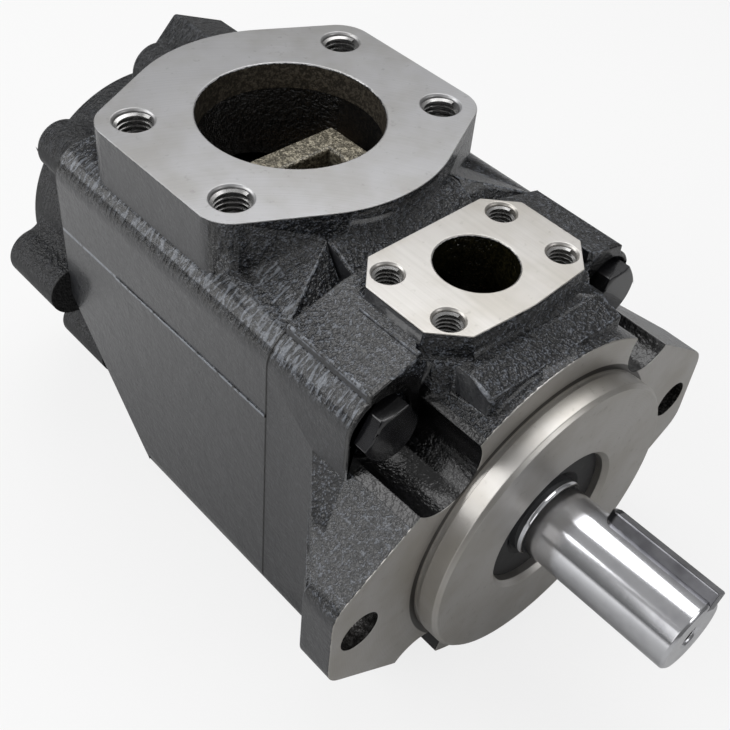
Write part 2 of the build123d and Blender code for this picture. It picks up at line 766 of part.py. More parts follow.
def rear_cap():
    """Rear cover with the rear pressure port, its chamber and the tail bush of the shaft."""
    hub_end = housing_rear + REAR_HUB_L
    with BuildPart() as cap:
        extrude(lobed_outline(station(housing_rear)), amount=-REAR_PLATE_L)
        revolve(
            turned(
                (0, housing_rear),
                (REAR_HUB_R, housing_rear),
                (REAR_HUB_R, hub_end - REAR_HUB_CHAMFER),
                (REAR_HUB_R - REAR_HUB_CHAMFER, hub_end),
                (0, hub_end),
            ),
            axis=Axis.Y,
        )
        # angular shoulder over the port gallery
        pad_half = P2_SPACING_Z / 2 + P2_EAR_R
        with BuildSketch(station(housing_rear + SHOULDER_BLOCK_START)):
            with BuildLine():
                Polyline(
                    (P2_X - P2_EAR_R / 2, -pad_half),
                    (P2_X - P2_EAR_R / 2, pad_half),
                    (RIDGE_X + P2_SPACING_Y, RIDGE_Z - P2_EAR_R),
                    (RIDGE_X, RIDGE_Z),
                    (RIDGE_X - P2_SPACING_Z, RIDGE_Z - P2_SPACING_Z),
                    (RIDGE_X - P2_SPACING_Z, -pad_half),
                    close=True,
                )
            make_face()
        extrude(amount=-(REAR_HUB_L - SHOULDER_BLOCK_START - SHOULDER_BLOCK_INSET))
        extrude(
            port_pad(
                p2_plane(P2_X), P2_SPACING_Y, P2_SPACING_Z, P2_EAR_R, P2_SPACING_Y / 2 + P2_EAR_R
            ),
            amount=-P2_X / 2,
        )
        extrude(underside(station(housing_rear)), amount=-REAR_HUB_L, mode=Mode.SUBTRACT)
        # plate bore, annular chamber, neck socket and bush bore
        bush_r = TAIL_R + FIT + BUSH_T
        boss_r = REAR_NECK_PLATE_R + BOSS_WALL
        revolve(
            turned(
                (0, housing_rear),
                (REAR_PORT_PLATE_R, housing_rear),
                (REAR_PORT_PLATE_R, rear_plate_end + SEAT_GAP),
                (REAR_CHAMBER_R, rear_plate_end + SEAT_GAP),
                (REAR_CHAMBER_R, rear_chamber_end),
                (boss_r, rear_chamber_end),
                (boss_r, rear_neck_end - NECK_SOCKET_L),
                (REAR_NECK_PLATE_R, rear_neck_end - NECK_SOCKET_L),
                (REAR_NECK_PLATE_R, rear_neck_end + SEAT_GAP),
                (bush_r, rear_neck_end + SEAT_GAP),
                (bush_r, bush_end + SHAFT_PASSAGE_GAP),
                (0, bush_end + SHAFT_PASSAGE_GAP),
            ),
            axis=Axis.Y,
            mode=Mode.SUBTRACT,
        )
        revolve(
            band(
                REAR_CORD_CIRCLE_R - CORD_GROOVE_HALF_W,
                REAR_CORD_CIRCLE_R + CORD_GROOVE_HALF_W,
                housing_rear,
                housing_rear + 2 * CORD_R + CORD_GAP,
            ),
            axis=Axis.Y,
            mode=Mode.SUBTRACT,
        )
        with BuildSketch(p2_plane(P2_X)):
            Circle(P2_R)
        extrude(amount=-(P2_X - (boss_r + REAR_CHAMBER_R) / 2), mode=Mode.SUBTRACT)
        with BuildSketch(p2_plane(P2_X)):
            with GridLocations(P2_SPACING_Y, P2_SPACING_Z, 2, 2):
                Circle(P2_THREAD_R)
        extrude(amount=-P2_THREAD_DEPTH, mode=Mode.SUBTRACT)
        chamfer(mouths(cap, Axis.X, P2_THREAD_R), THREAD_CHAMFER)
        chamfer(mouths(cap, Axis.X, P2_R), EDGE_SOFT / 3)
        seat = housing_rear + REAR_PLATE_L - SCREW_SINK
        shanks = circles(station(housing_rear), screw_points, SCREW_HOLE_R)
        extrude(shanks, amount=-REAR_HUB_L, mode=Mode.SUBTRACT)
        heads = circles(station(seat), screw_points, SCREW_HEAD_R + SCREW_HEAD_GAP)
        extrude(heads, amount=-REAR_HUB_L, mode=Mode.SUBTRACT)
    return cap.part


def front_cap_bolts():
    """Four hexagon bolts that hold the front cap, with turned ends and chamfered heads."""
    corner_r = HEAD_FLATS / 2 / cos(radians(30))
    tip = CAP_L + BOLT_GRIP_IN_HOUSING
    front = head_seat - HEAD_H
    with BuildPart() as bolt:
        with BuildSketch(station(front)):
            RegularPolygon(HEAD_FLATS / 2, 6, major_radius=False)
        extrude(amount=-HEAD_H)
        drop = corner_r - HEAD_FLATS / 2 + EDGE_SOFT
        revolve(
            turned(
                (0, front),
                (HEAD_FLATS / 2 - EDGE_SOFT / 2, front),
                (corner_r + EDGE_SOFT, front + drop / 2),
                (corner_r + EDGE_SOFT, head_seat),
                (0, head_seat),
            ),
            axis=Axis.Y,
            mode=Mode.INTERSECT,
        )
        revolve(
            turned(
                (0, head_seat),
                (BOLT_R, head_seat),
                (BOLT_R, tip - EDGE_SOFT),
                (BOLT_R - EDGE_SOFT, tip),
                (0, tip),
            ),
            axis=Axis.Y,
        )
    with BuildPart() as bolts:
        for x, z in bolt_points:
            with Locations((x, 0, z)):
                add(bolt.part)
    return bolts.part


def rear_cap_screws():
    """Socket head screws in the four diagonal lobes of the rear cap."""
    seat = housing_rear + REAR_PLATE_L - SCREW_SINK
    top = seat + SCREW_HEAD_H
    tip = housing_rear - SCREW_GRIP_IN_HOUSING
    with BuildPart() as screw:
        revolve(
            turned(
                (0, tip),
                (SCREW_R - EDGE_SOFT, tip),
                (SCREW_R, tip + EDGE_SOFT),
                (SCREW_R, seat),
                (SCREW_HEAD_R, seat),
                (SCREW_HEAD_R, top - EDGE_SOFT / 2),
                (SCREW_HEAD_R - EDGE_SOFT / 2, top),
                (0, top),
            ),
            axis=Axis.Y,
        )
        with BuildSketch(station(top)):
            RegularPolygon(SCREW_KEY_FLATS / 2, 6, major_radius=False)
        extrude(amount=SCREW_KEY_DEPTH, mode=Mode.SUBTRACT)
    with BuildPart() as screws:
        for x, z in screw_points:
            with Locations((x, 0, z)):
                add(screw.part)
    return screws.part


def drive_shaft():
    """Shaft with the keyed end, the bearing collar, both splines and the tail journal."""
    front_spline_start = front_ring_start - SPLINE_TOOTH_W
    front_spline_end = front_ring_end + SPLINE_TOOTH_W
    rear_spline_start = rear_ring_start - REAR_SPLINE_TOOTH_W
    rear_spline_end = rear_ring_end - SIDE_GAP
    front_root = SHOULDER_R - SPLINE_DEPTH
    rear_root = REAR_SPLINE_TIP_R - SPLINE_DEPTH
    with BuildPart() as shaft:
        revolve(
            turned(
                (0, -SHAFT_OUT),
                (SHAFT_R - SHAFT_CHAMFER, -SHAFT_OUT),
                (SHAFT_R, SHAFT_CHAMFER - SHAFT_OUT),
                (SHAFT_R, -COLLAR_OUT - SHAFT_CHAMFER),
                (COLLAR_R, -COLLAR_OUT),
                (COLLAR_R, bearing_end),
                (SHOULDER_R, bearing_end),
                (SHOULDER_R, front_spline_start),
                (front_root, front_spline_start),
                (front_root, front_spline_end),
                (MIDDLE_R, front_spline_end),
                (MIDDLE_R, rear_spline_start),
                (rear_root, rear_spline_start),
                (rear_root, rear_spline_end),
                (REAR_NECK_R, rear_spline_end),
                (REAR_NECK_R, rear_neck_end),
                (TAIL_R, rear_neck_end),
                (TAIL_R, shaft_end - SHAFT_CHAMFER),
                (TAIL_R - SHAFT_CHAMFER, shaft_end),
                (0, shaft_end),
            ),
            axis=Axis.Y,
        )
        extrude(
            splined(station(front_spline_start), SHOULDER_R, SPLINE_TOOTH_W, 0),
            amount=-(front_spline_end - front_spline_start),
        )
        extrude(
            splined(station(rear_spline_start), REAR_SPLINE_TIP_R, REAR_SPLINE_TOOTH_W, 0),
            amount=-(rear_spline_end - rear_spline_start),
        )
        # keyway, open at the shaft's end, with a round inner end
        keyway = Plane.XY.rotated((0, -(KEY_ANGLE - 90), 0)).offset(SHAFT_R - KEY_H / 2)
        with BuildSketch(keyway):
            with Locations((0, -SHAFT_OUT + KEY_L / 2)):
                Rectangle(KEY_W + 2 * SEAT_GAP, KEY_L)
            with Locations((0, -SHAFT_OUT + KEY_L)):
                Circle(KEY_W / 2 + SEAT_GAP)
        extrude(amount=KEY_H, mode=Mode.SUBTRACT)
        # threaded centre hole with its countersink
        revolve(
            turned(
                (0, -SHAFT_OUT),
                (CENTRE_HOLE_R + PORT_CHAMFER, -SHAFT_OUT),
                (CENTRE_HOLE_R, PORT_CHAMFER - SHAFT_OUT),
                (CENTRE_HOLE_R, CENTRE_HOLE_DEPTH - SHAFT_OUT),
                (0, CENTRE_HOLE_DEPTH + CENTRE_HOLE_R / 2 - SHAFT_OUT),
            ),
            axis=Axis.Y,
            mode=Mode.SUBTRACT,
        )
        # groove of the shaft's retaining ring
        revolve(
            band(COLLAR_R - CLIP_BITE, COLLAR_R, BEARING_FRONT - CLIP_T, BEARING_FRONT),
            axis=Axis.Y,
            mode=Mode.SUBTRACT,
        )
    return shaft.part


def shaft_key():
    """Square key with one round end, flush with the end of the shaft."""
    seat = Plane.XY.rotated((0, -(KEY_ANGLE - 90), 0)).offset(SHAFT_R - KEY_H / 2)
    with BuildPart() as key:
        with BuildSketch(seat):
            with Locations((0, -SHAFT_OUT + KEY_L / 2)):
                Rectangle(KEY_W, KEY_L)
            with Locations((0, -SHAFT_OUT + KEY_L)):
                Circle(KEY_W / 2)
        extrude(amount=KEY_H)
        chamfer(key.faces().sort_by(Axis((0, 0, 0), seat.z_dir))[-1].edges(), EDGE_SOFT / 3)
    return key.part


def shaft_seal():
    """Lip seal: a stiff case, a thin web and the lip that rides on the collar."""
    back = SEAL_FRONT + SEAL_W
    case_r = BEARING_OUTER_R - SEAT_GAP
    lip_r = COLLAR_R + FIT
    with BuildPart() as seal:
        revolve(
            turned(
                (lip_r, SEAL_FRONT + SEAL_WEB_T),
                (lip_r + SEAL_LIP_T, SEAL_FRONT),
                (case_r, SEAL_FRONT),
                (case_r, back),
                (case_r - SEAL_CASE_T, back),
                (case_r - SEAL_CASE_T, SEAL_FRONT + SEAL_WEB_T),
                (lip_r + SEAL_LIP_T, SEAL_FRONT + SEAL_WEB_T),
                (lip_r + SEAL_LIP_T, SEAL_FRONT + SEAL_LIP_L),
                (lip_r, SEAL_FRONT + SEAL_LIP_L),
            ),
            axis=Axis.Y,
        )
    return seal.part


def seal_spring():
    """Garter spring round the seal's lip, as a plain ring."""
    spring_r = COLLAR_R + FIT + SEAL_LIP_T + GARTER_R + CORD_GAP
    with BuildPart() as spring:
        revolve(cord(spring_r, GARTER_R, SEAL_FRONT + SEAL_LIP_L - 2 * GARTER_R), axis=Axis.Y)
    return spring.part


def bearing_ring(inner_r, outer_r):
    """One ring of the ball bearing, with its running groove."""
    middle = BEARING_FRONT + BEARING_W / 2
    with BuildPart() as ring:
        revolve(band(inner_r, outer_r, BEARING_FRONT, bearing_end), axis=Axis.Y)
        chamfer(ring.edges().filter_by(GeomType.CIRCLE), EDGE_SOFT / 3)
        revolve(cord(BEARING_PITCH_R, BALL_R + RACE_GAP, middle), axis=Axis.Y, mode=Mode.SUBTRACT)
    return ring.part


def bearing_balls():
    """The balls, evenly spaced on the pitch circle."""
    with BuildPart() as balls:
        with Locations(station(BEARING_FRONT + BEARING_W / 2)):
            with PolarLocations(BEARING_PITCH_R, BALL_COUNT):
                Sphere(BALL_R)
    return balls.part


def bearing_cage():
    """Cage between the bearing rings, with a pocket for each ball."""
    middle = BEARING_FRONT + BEARING_W / 2
    half = CAGE_W / 2
    with BuildPart() as cage:
        revolve(
            band(BEARING_PITCH_R - CAGE_HALF_T, BEARING_PITCH_R + CAGE_HALF_T, middle - half, middle + half),
            axis=Axis.Y,
        )
        with Locations(station(middle)):
            with PolarLocations(BEARING_PITCH_R, BALL_COUNT):
                Cylinder(BALL_R + RACE_GAP, 4 * CAGE_HALF_T, rotation=(0, 90, 0), mode=Mode.SUBTRACT)
    return cage.part


def cam_ring(size):
    """Ring with the two-lobed inner wall, its inlet notches and the holes of the pins and screws."""
    width = size["ring_end"] - size["ring_start"]
    front = station(size["ring_start"])
    with BuildPart() as ring:
        with BuildSketch(front):
            Circle(size["ring_r"])
        extrude(amount=-width)
        extrude(contour(front, size["small_r"], size["stroke"]), amount=-width, mode=Mode.SUBTRACT)
        for angle in (PIN_ANGLE, -PIN_ANGLE):
            spots = pin_points(size["ring_r"], angle)
            extrude(circles(front, spots, PIN_R + FIT), amount=-width, mode=Mode.SUBTRACT)
    return ring.part


def rotor(size):
    """Rotor with the vane slots and the splined bore."""
    start = size["ring_start"] + SIDE_GAP
    width = size["ring_end"] - size["ring_start"] - 2 * SIDE_GAP
    outer_r = size["small_r"] - ROTOR_GAP
    slot_l = outer_r - size["slot_root"] + ROTOR_GAP
    with BuildPart() as body:
        with BuildSketch(station(start)):
            Circle(outer_r)
            with PolarLocations(size["slot_root"] + slot_l / 2, VANE_COUNT, start_angle=VANE_REST_ANGLE):
                Rectangle(slot_l, VANE_T + 2 * VANE_PLAY, mode=Mode.SUBTRACT)
        extrude(amount=-width)
        extrude(
            splined(station(start), size["spline_tip"], size["spline_tooth"], FIT),
            amount=-width,
            mode=Mode.SUBTRACT,
        )
    return body.part


def vane(size, number):
    """One vane, slid in until its tip just clears the ring's small radius."""
    start = size["ring_start"] + SIDE_GAP
    width = size["ring_end"] - size["ring_start"] - 2 * SIDE_GAP
    tip = size["small_r"] - TIP_GAP
    root = size["slot_root"] + VANE_ROOT_GAP
    angle = VANE_REST_ANGLE + number * 360 / VANE_COUNT
    with BuildPart() as blade:
        with BuildSketch(station(start)):
            with PolarLocations((tip + root) / 2, 1, start_angle=angle):
                Rectangle(tip - root, VANE_T)
        extrude(amount=-width)
    return blade.part


def port_plate(size):
    """Plate between a ring and its pressure chamber, with delivery slots, inlet notches and a neck."""
    back = size["facing"]
    face = size["ring_start"] if back > 0 else size["ring_end"]
    far = face - back * size["plate_t"]
    neck = far - back * size["neck_l"]
    outer_r = size["plate_r"] - FIT
    neck_r = size["neck_r"] - FIT
    pin_r = size["ring_r"] - PIN_CIRCLE_INSET
    flange = far + back * size["plate_t"] / 3
    groove = flange - back * PLATE_CORD_R
    neck_groove = neck + back * 2 * NECK_CORD_R
    with BuildPart() as plate:
        revolve(band(size["neck_bore"], outer_r, far, face), axis=Axis.Y)
        revolve(band(size["neck_bore"], neck_r, neck, far), axis=Axis.Y)
        for rim_r, cord_r, y in ((outer_r, PLATE_CORD_R, groove), (neck_r, NECK_CORD_R, neck_groove)):
            half = cord_r + CORD_GAP
            revolve(band(rim_r - 2 * cord_r, rim_r, y - half, y + half), axis=Axis.Y, mode=Mode.SUBTRACT)
        mean_r = size["small_r"] + size["stroke"] / 2 - KIDNEY_W / 2
        slots = kidneys(station(face), mean_r, KIDNEY_W, KIDNEY_ANGLE)
        extrude(slots, amount=back * size["plate_t"], mode=Mode.SUBTRACT)
        with BuildSketch(station(face)):
            with PolarLocations(pin_r, 2, start_angle=-KIDNEY_ANGLE):
                Rectangle(2 * (pin_r - mean_r), INLET_W)
        extrude(amount=back * INLET_DEPTH / 2, mode=Mode.SUBTRACT)
        for angle in (PIN_ANGLE, -PIN_ANGLE):
            spots = pin_points(size["ring_r"], angle)
            extrude(circles(station(face), spots, PIN_R + FIT), amount=back * PIN_BITE, mode=Mode.SUBTRACT)
    return plate.part


def side_plate(size):
    """Plate on the other side of a ring, with blind delivery slots, inlet notches and the screw heads."""
    out = size["facing"]
    face = size["ring_end"] if out > 0 else size["ring_start"]
    far = face + out * size["side_t"]
    pin_r = size["ring_r"] - PIN_CIRCLE_INSET
    mean_r = size["small_r"] + size["stroke"] / 2 - KIDNEY_W / 2
    dowels = pin_points(size["ring_r"], PIN_ANGLE)
    screws = pin_points(size["ring_r"], -PIN_ANGLE)
    with BuildPart() as plate:
        revolve(band(size["spline_tip"] + SHAFT_PASSAGE_GAP, size["ring_r"], face, far), axis=Axis.Y)
        slots = kidneys(station(face), mean_r, KIDNEY_W, KIDNEY_ANGLE)
        extrude(slots, amount=-out * INLET_DEPTH / 2, mode=Mode.SUBTRACT)
        with BuildSketch(station(face)):
            with PolarLocations(pin_r, 2, start_angle=-KIDNEY_ANGLE):
                Rectangle(2 * (pin_r - mean_r), INLET_W)
        extrude(amount=-out * INLET_DEPTH, mode=Mode.SUBTRACT)
        extrude(circles(station(face), dowels, PIN_R + FIT), amount=-out * PIN_BITE, mode=Mode.SUBTRACT)
        extrude(circles(station(face), screws, PIN_R + FIT), amount=-out * size["side_t"], mode=Mode.SUBTRACT)
        extrude(
            circles(station(far), screws, TIE_HEAD_R + TIE_HEAD_GAP),
            amount=out * (TIE_HEAD_H + TIE_HEAD_GAP),
            mode=Mode.SUBTRACT,
        )
    return plate.part


def dowel_pins(size):
    """Two pins that line up the plates and the ring of a cartridge."""
    start = size["ring_start"] - PIN_BITE + TIE_HEAD_GAP
    length = size["ring_end"] - size["ring_start"] + 2 * (PIN_BITE - TIE_HEAD_GAP)
    with BuildPart() as pins:
        extrude(circles(station(start), pin_points(size["ring_r"], PIN_ANGLE), PIN_R), amount=-length)
        chamfer(pins.edges().filter_by(GeomType.CIRCLE), PIN_R / 5)
    return pins.part


def cartridge_screws(size):
    """Two long screws that hold a cartridge together, with flat heads sunk in the side plate."""
    out = size["facing"]
    inner = size["ring_start"] if out > 0 else size["ring_end"]
    outer = size["ring_end"] if out > 0 else size["ring_start"]
    tip = inner - out * (PIN_BITE - TIE_HEAD_GAP)
    seat = outer + out * (size["side_t"] - TIE_HEAD_H - TIE_HEAD_GAP)
    spots = pin_points(size["ring_r"], -PIN_ANGLE)
    with BuildPart() as screws:
        extrude(circles(station(tip), spots, PIN_R), amount=-(seat - tip))
        extrude(circles(station(seat), spots, TIE_HEAD_R), amount=-out * TIE_HEAD_H)
    return screws.part


def port_plate_rings(size):
    """The two sealing rings of a port plate: one round its rim and one round its neck."""
    back = size["facing"]
    face = size["ring_start"] if back > 0 else size["ring_end"]
    far = face - back * size["plate_t"]
    neck = far - back * size["neck_l"]
    rim_y = far + back * (size["plate_t"] / 3 - PLATE_CORD_R)
    neck_y = neck + back * 2 * NECK_CORD_R
    with BuildPart() as rings:
        revolve(cord(size["plate_r"] - FIT - PLATE_CORD_R, PLATE_CORD_R - CORD_GAP, rim_y), axis=Axis.Y)
        revolve(cord(size["neck_r"] - FIT - NECK_CORD_R, NECK_CORD_R - CORD_GAP, neck_y), axis=Axis.Y)
    return rings.part


def cap_ring(ring_r, y):
    """Sealing ring in the face groove of a cap."""
    with BuildPart() as ring:
        revolve(cord(ring_r, CORD_R, y), axis=Axis.Y)
    return ring.part


def rear_bush():
    """Plain bush that carries the tail of the shaft."""
    with BuildPart() as bush:
        revolve(band(TAIL_R + FIT, TAIL_R + FIT + BUSH_T - SEAT_GAP, bush_start, bush_end), axis=Axis.Y)
    return bush.part


os.makedirs("parts", exist_ok=True)
save(front_cap(), "front_cap")
save(centre_housing(), "centre_housing")
save(rear_cap(), "rear_cap")
save(front_cap_bolts(), "front_cap_bolts")
save(rear_cap_screws(), "rear_cap_screws")
save(drive_shaft(), "drive_shaft")
save(shaft_key(), "shaft_key")
save(shaft_seal(), "shaft_seal")
save(seal_spring(), "seal_spring")
save(bearing_ring(BEARING_PITCH_R + BEARING_LAND, BEARING_OUTER_R - SEAT_GAP), "bearing_outer_ring")
save(bearing_ring(COLLAR_R + SEAT_GAP, BEARING_PITCH_R - BEARING_LAND), "bearing_inner_ring")
save(bearing_balls(), "bearing_balls")
save(bearing_cage(), "bearing_cage")
cap_clip_r = BEARING_OUTER_R + CLIP_BITE - SEAT_GAP
save(clip_ring(cap_clip_r - CLIP_BITE - CLIP_HEIGHT, cap_clip_r), "bearing_retaining_ring")
shaft_clip_r = COLLAR_R - CLIP_BITE + SEAT_GAP
save(clip_ring(shaft_clip_r, shaft_clip_r + CLIP_BITE + CLIP_HEIGHT), "shaft_retaining_ring")
save(rear_bush(), "rear_bush")
save(cap_ring(FRONT_CORD_CIRCLE_R, housing_front - CORD_R - CORD_GAP / 2), "front_cap_seal")
save(cap_ring(REAR_CORD_CIRCLE_R, housing_rear + CORD_R + CORD_GAP / 2), "rear_cap_seal")
for name, size in cartridges.items():
    save(cam_ring(size), f"{name}_cam_ring")
    save(rotor(size), f"{name}_rotor")
    save(port_plate(size), f"{name}_port_plate")
    save(side_plate(size), f"{name}_side_plate")
    save(port_plate_rings(size), f"{name}_port_plate_seals")
    save(dowel_pins(size), f"{name}_dowel_pins")
    save(cartridge_screws(size), f"{name}_cartridge_screws")
    for number in range(VANE_COUNT):
        save(vane(size, number), f"{name}_vane_{number + 1:02d}")
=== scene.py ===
"""Dresses the hydraulic vane pump: castings, machined faces, threads, bolts, shaft and studio."""

import logging
import math
from collections.abc import Iterator
from contextlib import contextmanager
from dataclasses import dataclass, field
from enum import Enum
from typing import Any

import bmesh
import bpy
from mathutils import Matrix, Vector


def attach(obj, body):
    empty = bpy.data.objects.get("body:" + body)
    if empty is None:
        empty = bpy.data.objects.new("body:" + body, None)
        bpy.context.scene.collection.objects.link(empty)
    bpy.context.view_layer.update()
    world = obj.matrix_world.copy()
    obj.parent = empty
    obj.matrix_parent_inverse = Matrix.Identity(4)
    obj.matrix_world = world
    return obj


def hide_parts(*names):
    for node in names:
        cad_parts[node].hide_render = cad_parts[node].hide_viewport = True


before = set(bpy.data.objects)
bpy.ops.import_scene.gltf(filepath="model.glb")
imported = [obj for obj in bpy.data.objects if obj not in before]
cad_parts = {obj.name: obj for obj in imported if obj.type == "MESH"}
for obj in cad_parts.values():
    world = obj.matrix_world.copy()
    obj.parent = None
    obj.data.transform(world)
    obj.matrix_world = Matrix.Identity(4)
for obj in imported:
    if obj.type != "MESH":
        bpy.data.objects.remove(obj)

LOG = logging.getLogger("vane_pump")
MM = 0.001
BLEND = 0.1 * MM
BARE_BORDER = (-0.50 * MM, -0.28 * MM)
BORE_MARGIN = 0.25
HOLE_MARGIN = 0.15
CUT_DEPTH = 0.01 * MM
WHITE = (1.0, 1.0, 1.0, 1.0)
# attribute of the outward edges, painted with wear and a painted highlight
WEAR_HIGHLIGHT_MARK = "edge_wear_highlight"
# heights of the painted highlight line on the flanks, in millimetres
FLASH_HIGHLIGHT_LEVELS = (35.9, 37.3)
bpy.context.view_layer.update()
Piece = bpy.types.Object
Socket = bpy.types.NodeSocket
Edge = bmesh.types.BMEdge
Point = tuple[float, float, float]
Colour = tuple[float, float, float]


class Axis(Enum):
    """Row axes, as the index of a coordinate."""

    X = 0
    Y = 1
    Z = 2

    def others(self) -> tuple[int, int]:
        """Indices of the two coordinates across the axis."""
        one, two = (index for index in range(3) if index != self.value)
        return one, two


class Joining(Enum):
    """What a tool does to a piece, as Blender's name for it."""

    CUT = "DIFFERENCE"
    ADDED = "UNION"


def mm(*values: float) -> Vector:
    """Turns millimetres into a vector in metres."""
    return Vector([value * MM for value in values])


# Materials


class Signal:
    """A number that flows through a material, with Python's operators."""

    def __init__(self, graph: "Graph", socket: Socket) -> None:
        """Keeps the socket and the graph that it belongs to."""
        self.graph = graph
        self.socket = socket

    def _math(self, operation: str, *values: Any) -> "Signal":
        """Adds one Math node on the given values."""
        node = self.graph.node("ShaderNodeMath", {"operation": operation}, dict(enumerate(values)))
        return Signal(self.graph, node.outputs[0])

    def __add__(self, other: Any) -> "Signal":
        """Sum."""
        return self._math("ADD", self, other)

    __radd__ = __add__

    def __sub__(self, other: Any) -> "Signal":
        """Difference."""
        return self._math("SUBTRACT", self, other)

    def __rsub__(self, other: Any) -> "Signal":
        """Reflected difference."""
        return self._math("SUBTRACT", other, self)

    def __mul__(self, other: Any) -> "Signal":
        """Product."""
        return self._math("MULTIPLY", self, other)

    __rmul__ = __mul__

    def __truediv__(self, other: Any) -> "Signal":
        """Quotient."""
        return self._math("DIVIDE", self, other)

    def __pow__(self, other: Any) -> "Signal":
        """Power."""
        return self._math("POWER", self, other)

    def __abs__(self) -> "Signal":
        """Distance from zero."""
        return self._math("ABSOLUTE", self)

    def at_least(self, other: Any) -> "Signal":
        """The larger of two numbers."""
        return self._math("MAXIMUM", self, other)

    def rise(self, low: float, high: float, start: float = 0.0, end: float = 1.0) -> "Signal":
        """Smooth step from start to end while the number goes from low to high.

        Args:
            low: Number at which the step starts.
            high: Number at which the step ends.
            start: Value before the step.
            end: Value after the step.

        Returns:
            The stepped number.
        """
        settings = {"interpolation_type": "SMOOTHSTEP"}
        values = {"Value": self, "From Min": low, "From Max": high, "To Min": start, "To Max": end}
        return Signal(self.graph, self.graph.node("ShaderNodeMapRange", settings, values).outputs["Result"])

    def fall(self, low: float, high: float) -> "Signal":
        """Smooth step from 1 to 0 while the number goes from low to high."""
        return self.rise(low, high, 1.0, 0.0)

    def towards(self, goal: Any, share: "Signal") -> "Signal":
        """Goes a share of the way to a goal."""
        return self + (goal - self) * share


Spots = tuple[Signal, Signal, Signal]


@dataclass
class Graph:
    """Node tree of one material or world."""

    tree: bpy.types.NodeTree

    def node(
        self, kind: str, settings: dict[str, Any] | None = None, values: dict[Any, Any] | None = None
    ) -> bpy.types.Node:
        """Adds any node.

        Args:
            kind: The node's type.
            settings: Properties, set first.
            values: Numbers, colours, sockets or signals for the node's inputs.

        Returns:
            The new node.
        """
        made = self.tree.nodes.new(kind)
        for name, setting in (settings or {}).items():
            setattr(made, name, setting)
        for name, value in (values or {}).items():
            source = value.socket if isinstance(value, Signal) else value
            if isinstance(source, Socket):
                self.tree.links.new(source, made.inputs[name])
            else:
                made.inputs[name].default_value = source
        return made

    def place(self) -> Socket:
        """Object coordinates, in metres."""
        return self.node("ShaderNodeTexCoord").outputs["Object"]

    def parts(self, vector: Socket) -> Spots:
        """Splits a vector into its three numbers."""
        split = self.node("ShaderNodeSeparateXYZ", None, {"Vector": vector})
        return tuple(Signal(self, output) for output in split.outputs)

    def normal(self) -> Spots:
        """Parts of the surface's own direction."""
        return self.parts(self.node("ShaderNodeNewGeometry").outputs["True Normal"])

    def noise(
        self, scale: float, detail: float = 2.0, rough: float = 0.5, stretch: Point = (1.0, 1.0, 1.0)
    ) -> Signal:
        """Noise on Object coordinates.

        Args:
            scale: Spots per metre.
            detail: Octaves.
            rough: Weight of the finer octaves.
            stretch: Factors that squeeze the noise along the three axes.

        Returns:
            The noise, about 0 to 1.
        """
        spot = self.node("ShaderNodeMapping", None, {"Vector": self.place(), "Scale": stretch}).outputs[0]
        values = {"Vector": spot, "Scale": scale, "Detail": detail, "Roughness": rough}
        return Signal(self, self.node("ShaderNodeTexNoise", None, values).outputs["Fac"])

    def cells(self, scale: float) -> Signal:
        """Distance to the nearest of scattered points, on Object coordinates."""
        values = {"Vector": self.place(), "Scale": scale}
        return Signal(self, self.node("ShaderNodeTexVoronoi", None, values).outputs["Distance"])

    def rings(self, distance: Signal, pitch: float) -> Signal:
        """Uneven fine grooves that follow one distance, as a lathe or a cutter leaves them."""
        settings = {"noise_dimensions": "1D"}
        values = {"W": distance / pitch, "Scale": 1.0, "Detail": 3.0, "Roughness": 0.6}
        return Signal(self, self.node("ShaderNodeTexNoise", settings, values).outputs["Fac"])

    def mix(self, share: Any, first: Any, second: Any) -> Socket:
        """Mixes two colours by a share of the second."""
        colours = [(*c, 1.0) if isinstance(c, tuple) and len(c) == 3 else c for c in (first, second)]
        values = {"Factor": share, 6: colours[0], 7: colours[1]}
        return self.node("ShaderNodeMix", {"data_type": "RGBA"}, values).outputs[2]

    def bump(self, *layers: tuple[Signal, float]) -> Socket:
        """Bump from heights, each with its depth in metres."""
        height = None
        for level, depth in layers:
            height = level * depth if height is None else height + level * depth
        values = {"Strength": 1.0, "Distance": 1.0, "Height": height}
        return self.node("ShaderNodeBump", None, values).outputs["Normal"]


def new_graph(name: str) -> tuple[bpy.types.Material, Graph]:
    """Makes an empty material and its graph."""
    material = bpy.data.materials.new(name)
    material.use_nodes = True
    material.node_tree.nodes.clear()
    return material, Graph(material.node_tree)


def close_graph(graph: Graph, values: dict[Any, Any]) -> None:
    """Ends a material in one Principled shader with the given inputs."""
    shader = graph.node("ShaderNodeBsdfPrincipled", None, values)
    graph.node("ShaderNodeOutputMaterial", None, {"Surface": shader.outputs[0]})


# Finishes


@dataclass(frozen=True)
class MachinedPlane:
    """A flat face that a cutter has bared, with the side on which the metal shows."""

    axis: Axis
    level: float
    side: int

    def bare(self, spots: Spots, waver: Signal) -> Signal:
        """Share of bare metal near the plane, with a ragged border."""
        height = (spots[self.axis.value] - self.level * MM) * float(self.side) + waver
        return height.rise(*BARE_BORDER)


@dataclass(frozen=True)
class MachinedBore:
    """A round wall that a cutter has bared."""

    axis: Axis
    centre: tuple[float, float]
    radius: float
    start: float
    end: float

    def inside(self, spots: Spots) -> Signal:
        """1 on the bore's wall and within it, 0 elsewhere."""
        one, two = self.axis.others()
        distance = length_of(spots[one] - self.centre[0] * MM, spots[two] - self.centre[1] * MM)
        edge = (self.radius + BORE_MARGIN) * MM
        return distance.fall(edge, edge + BLEND) * between(spots[self.axis.value], self.start, self.end)


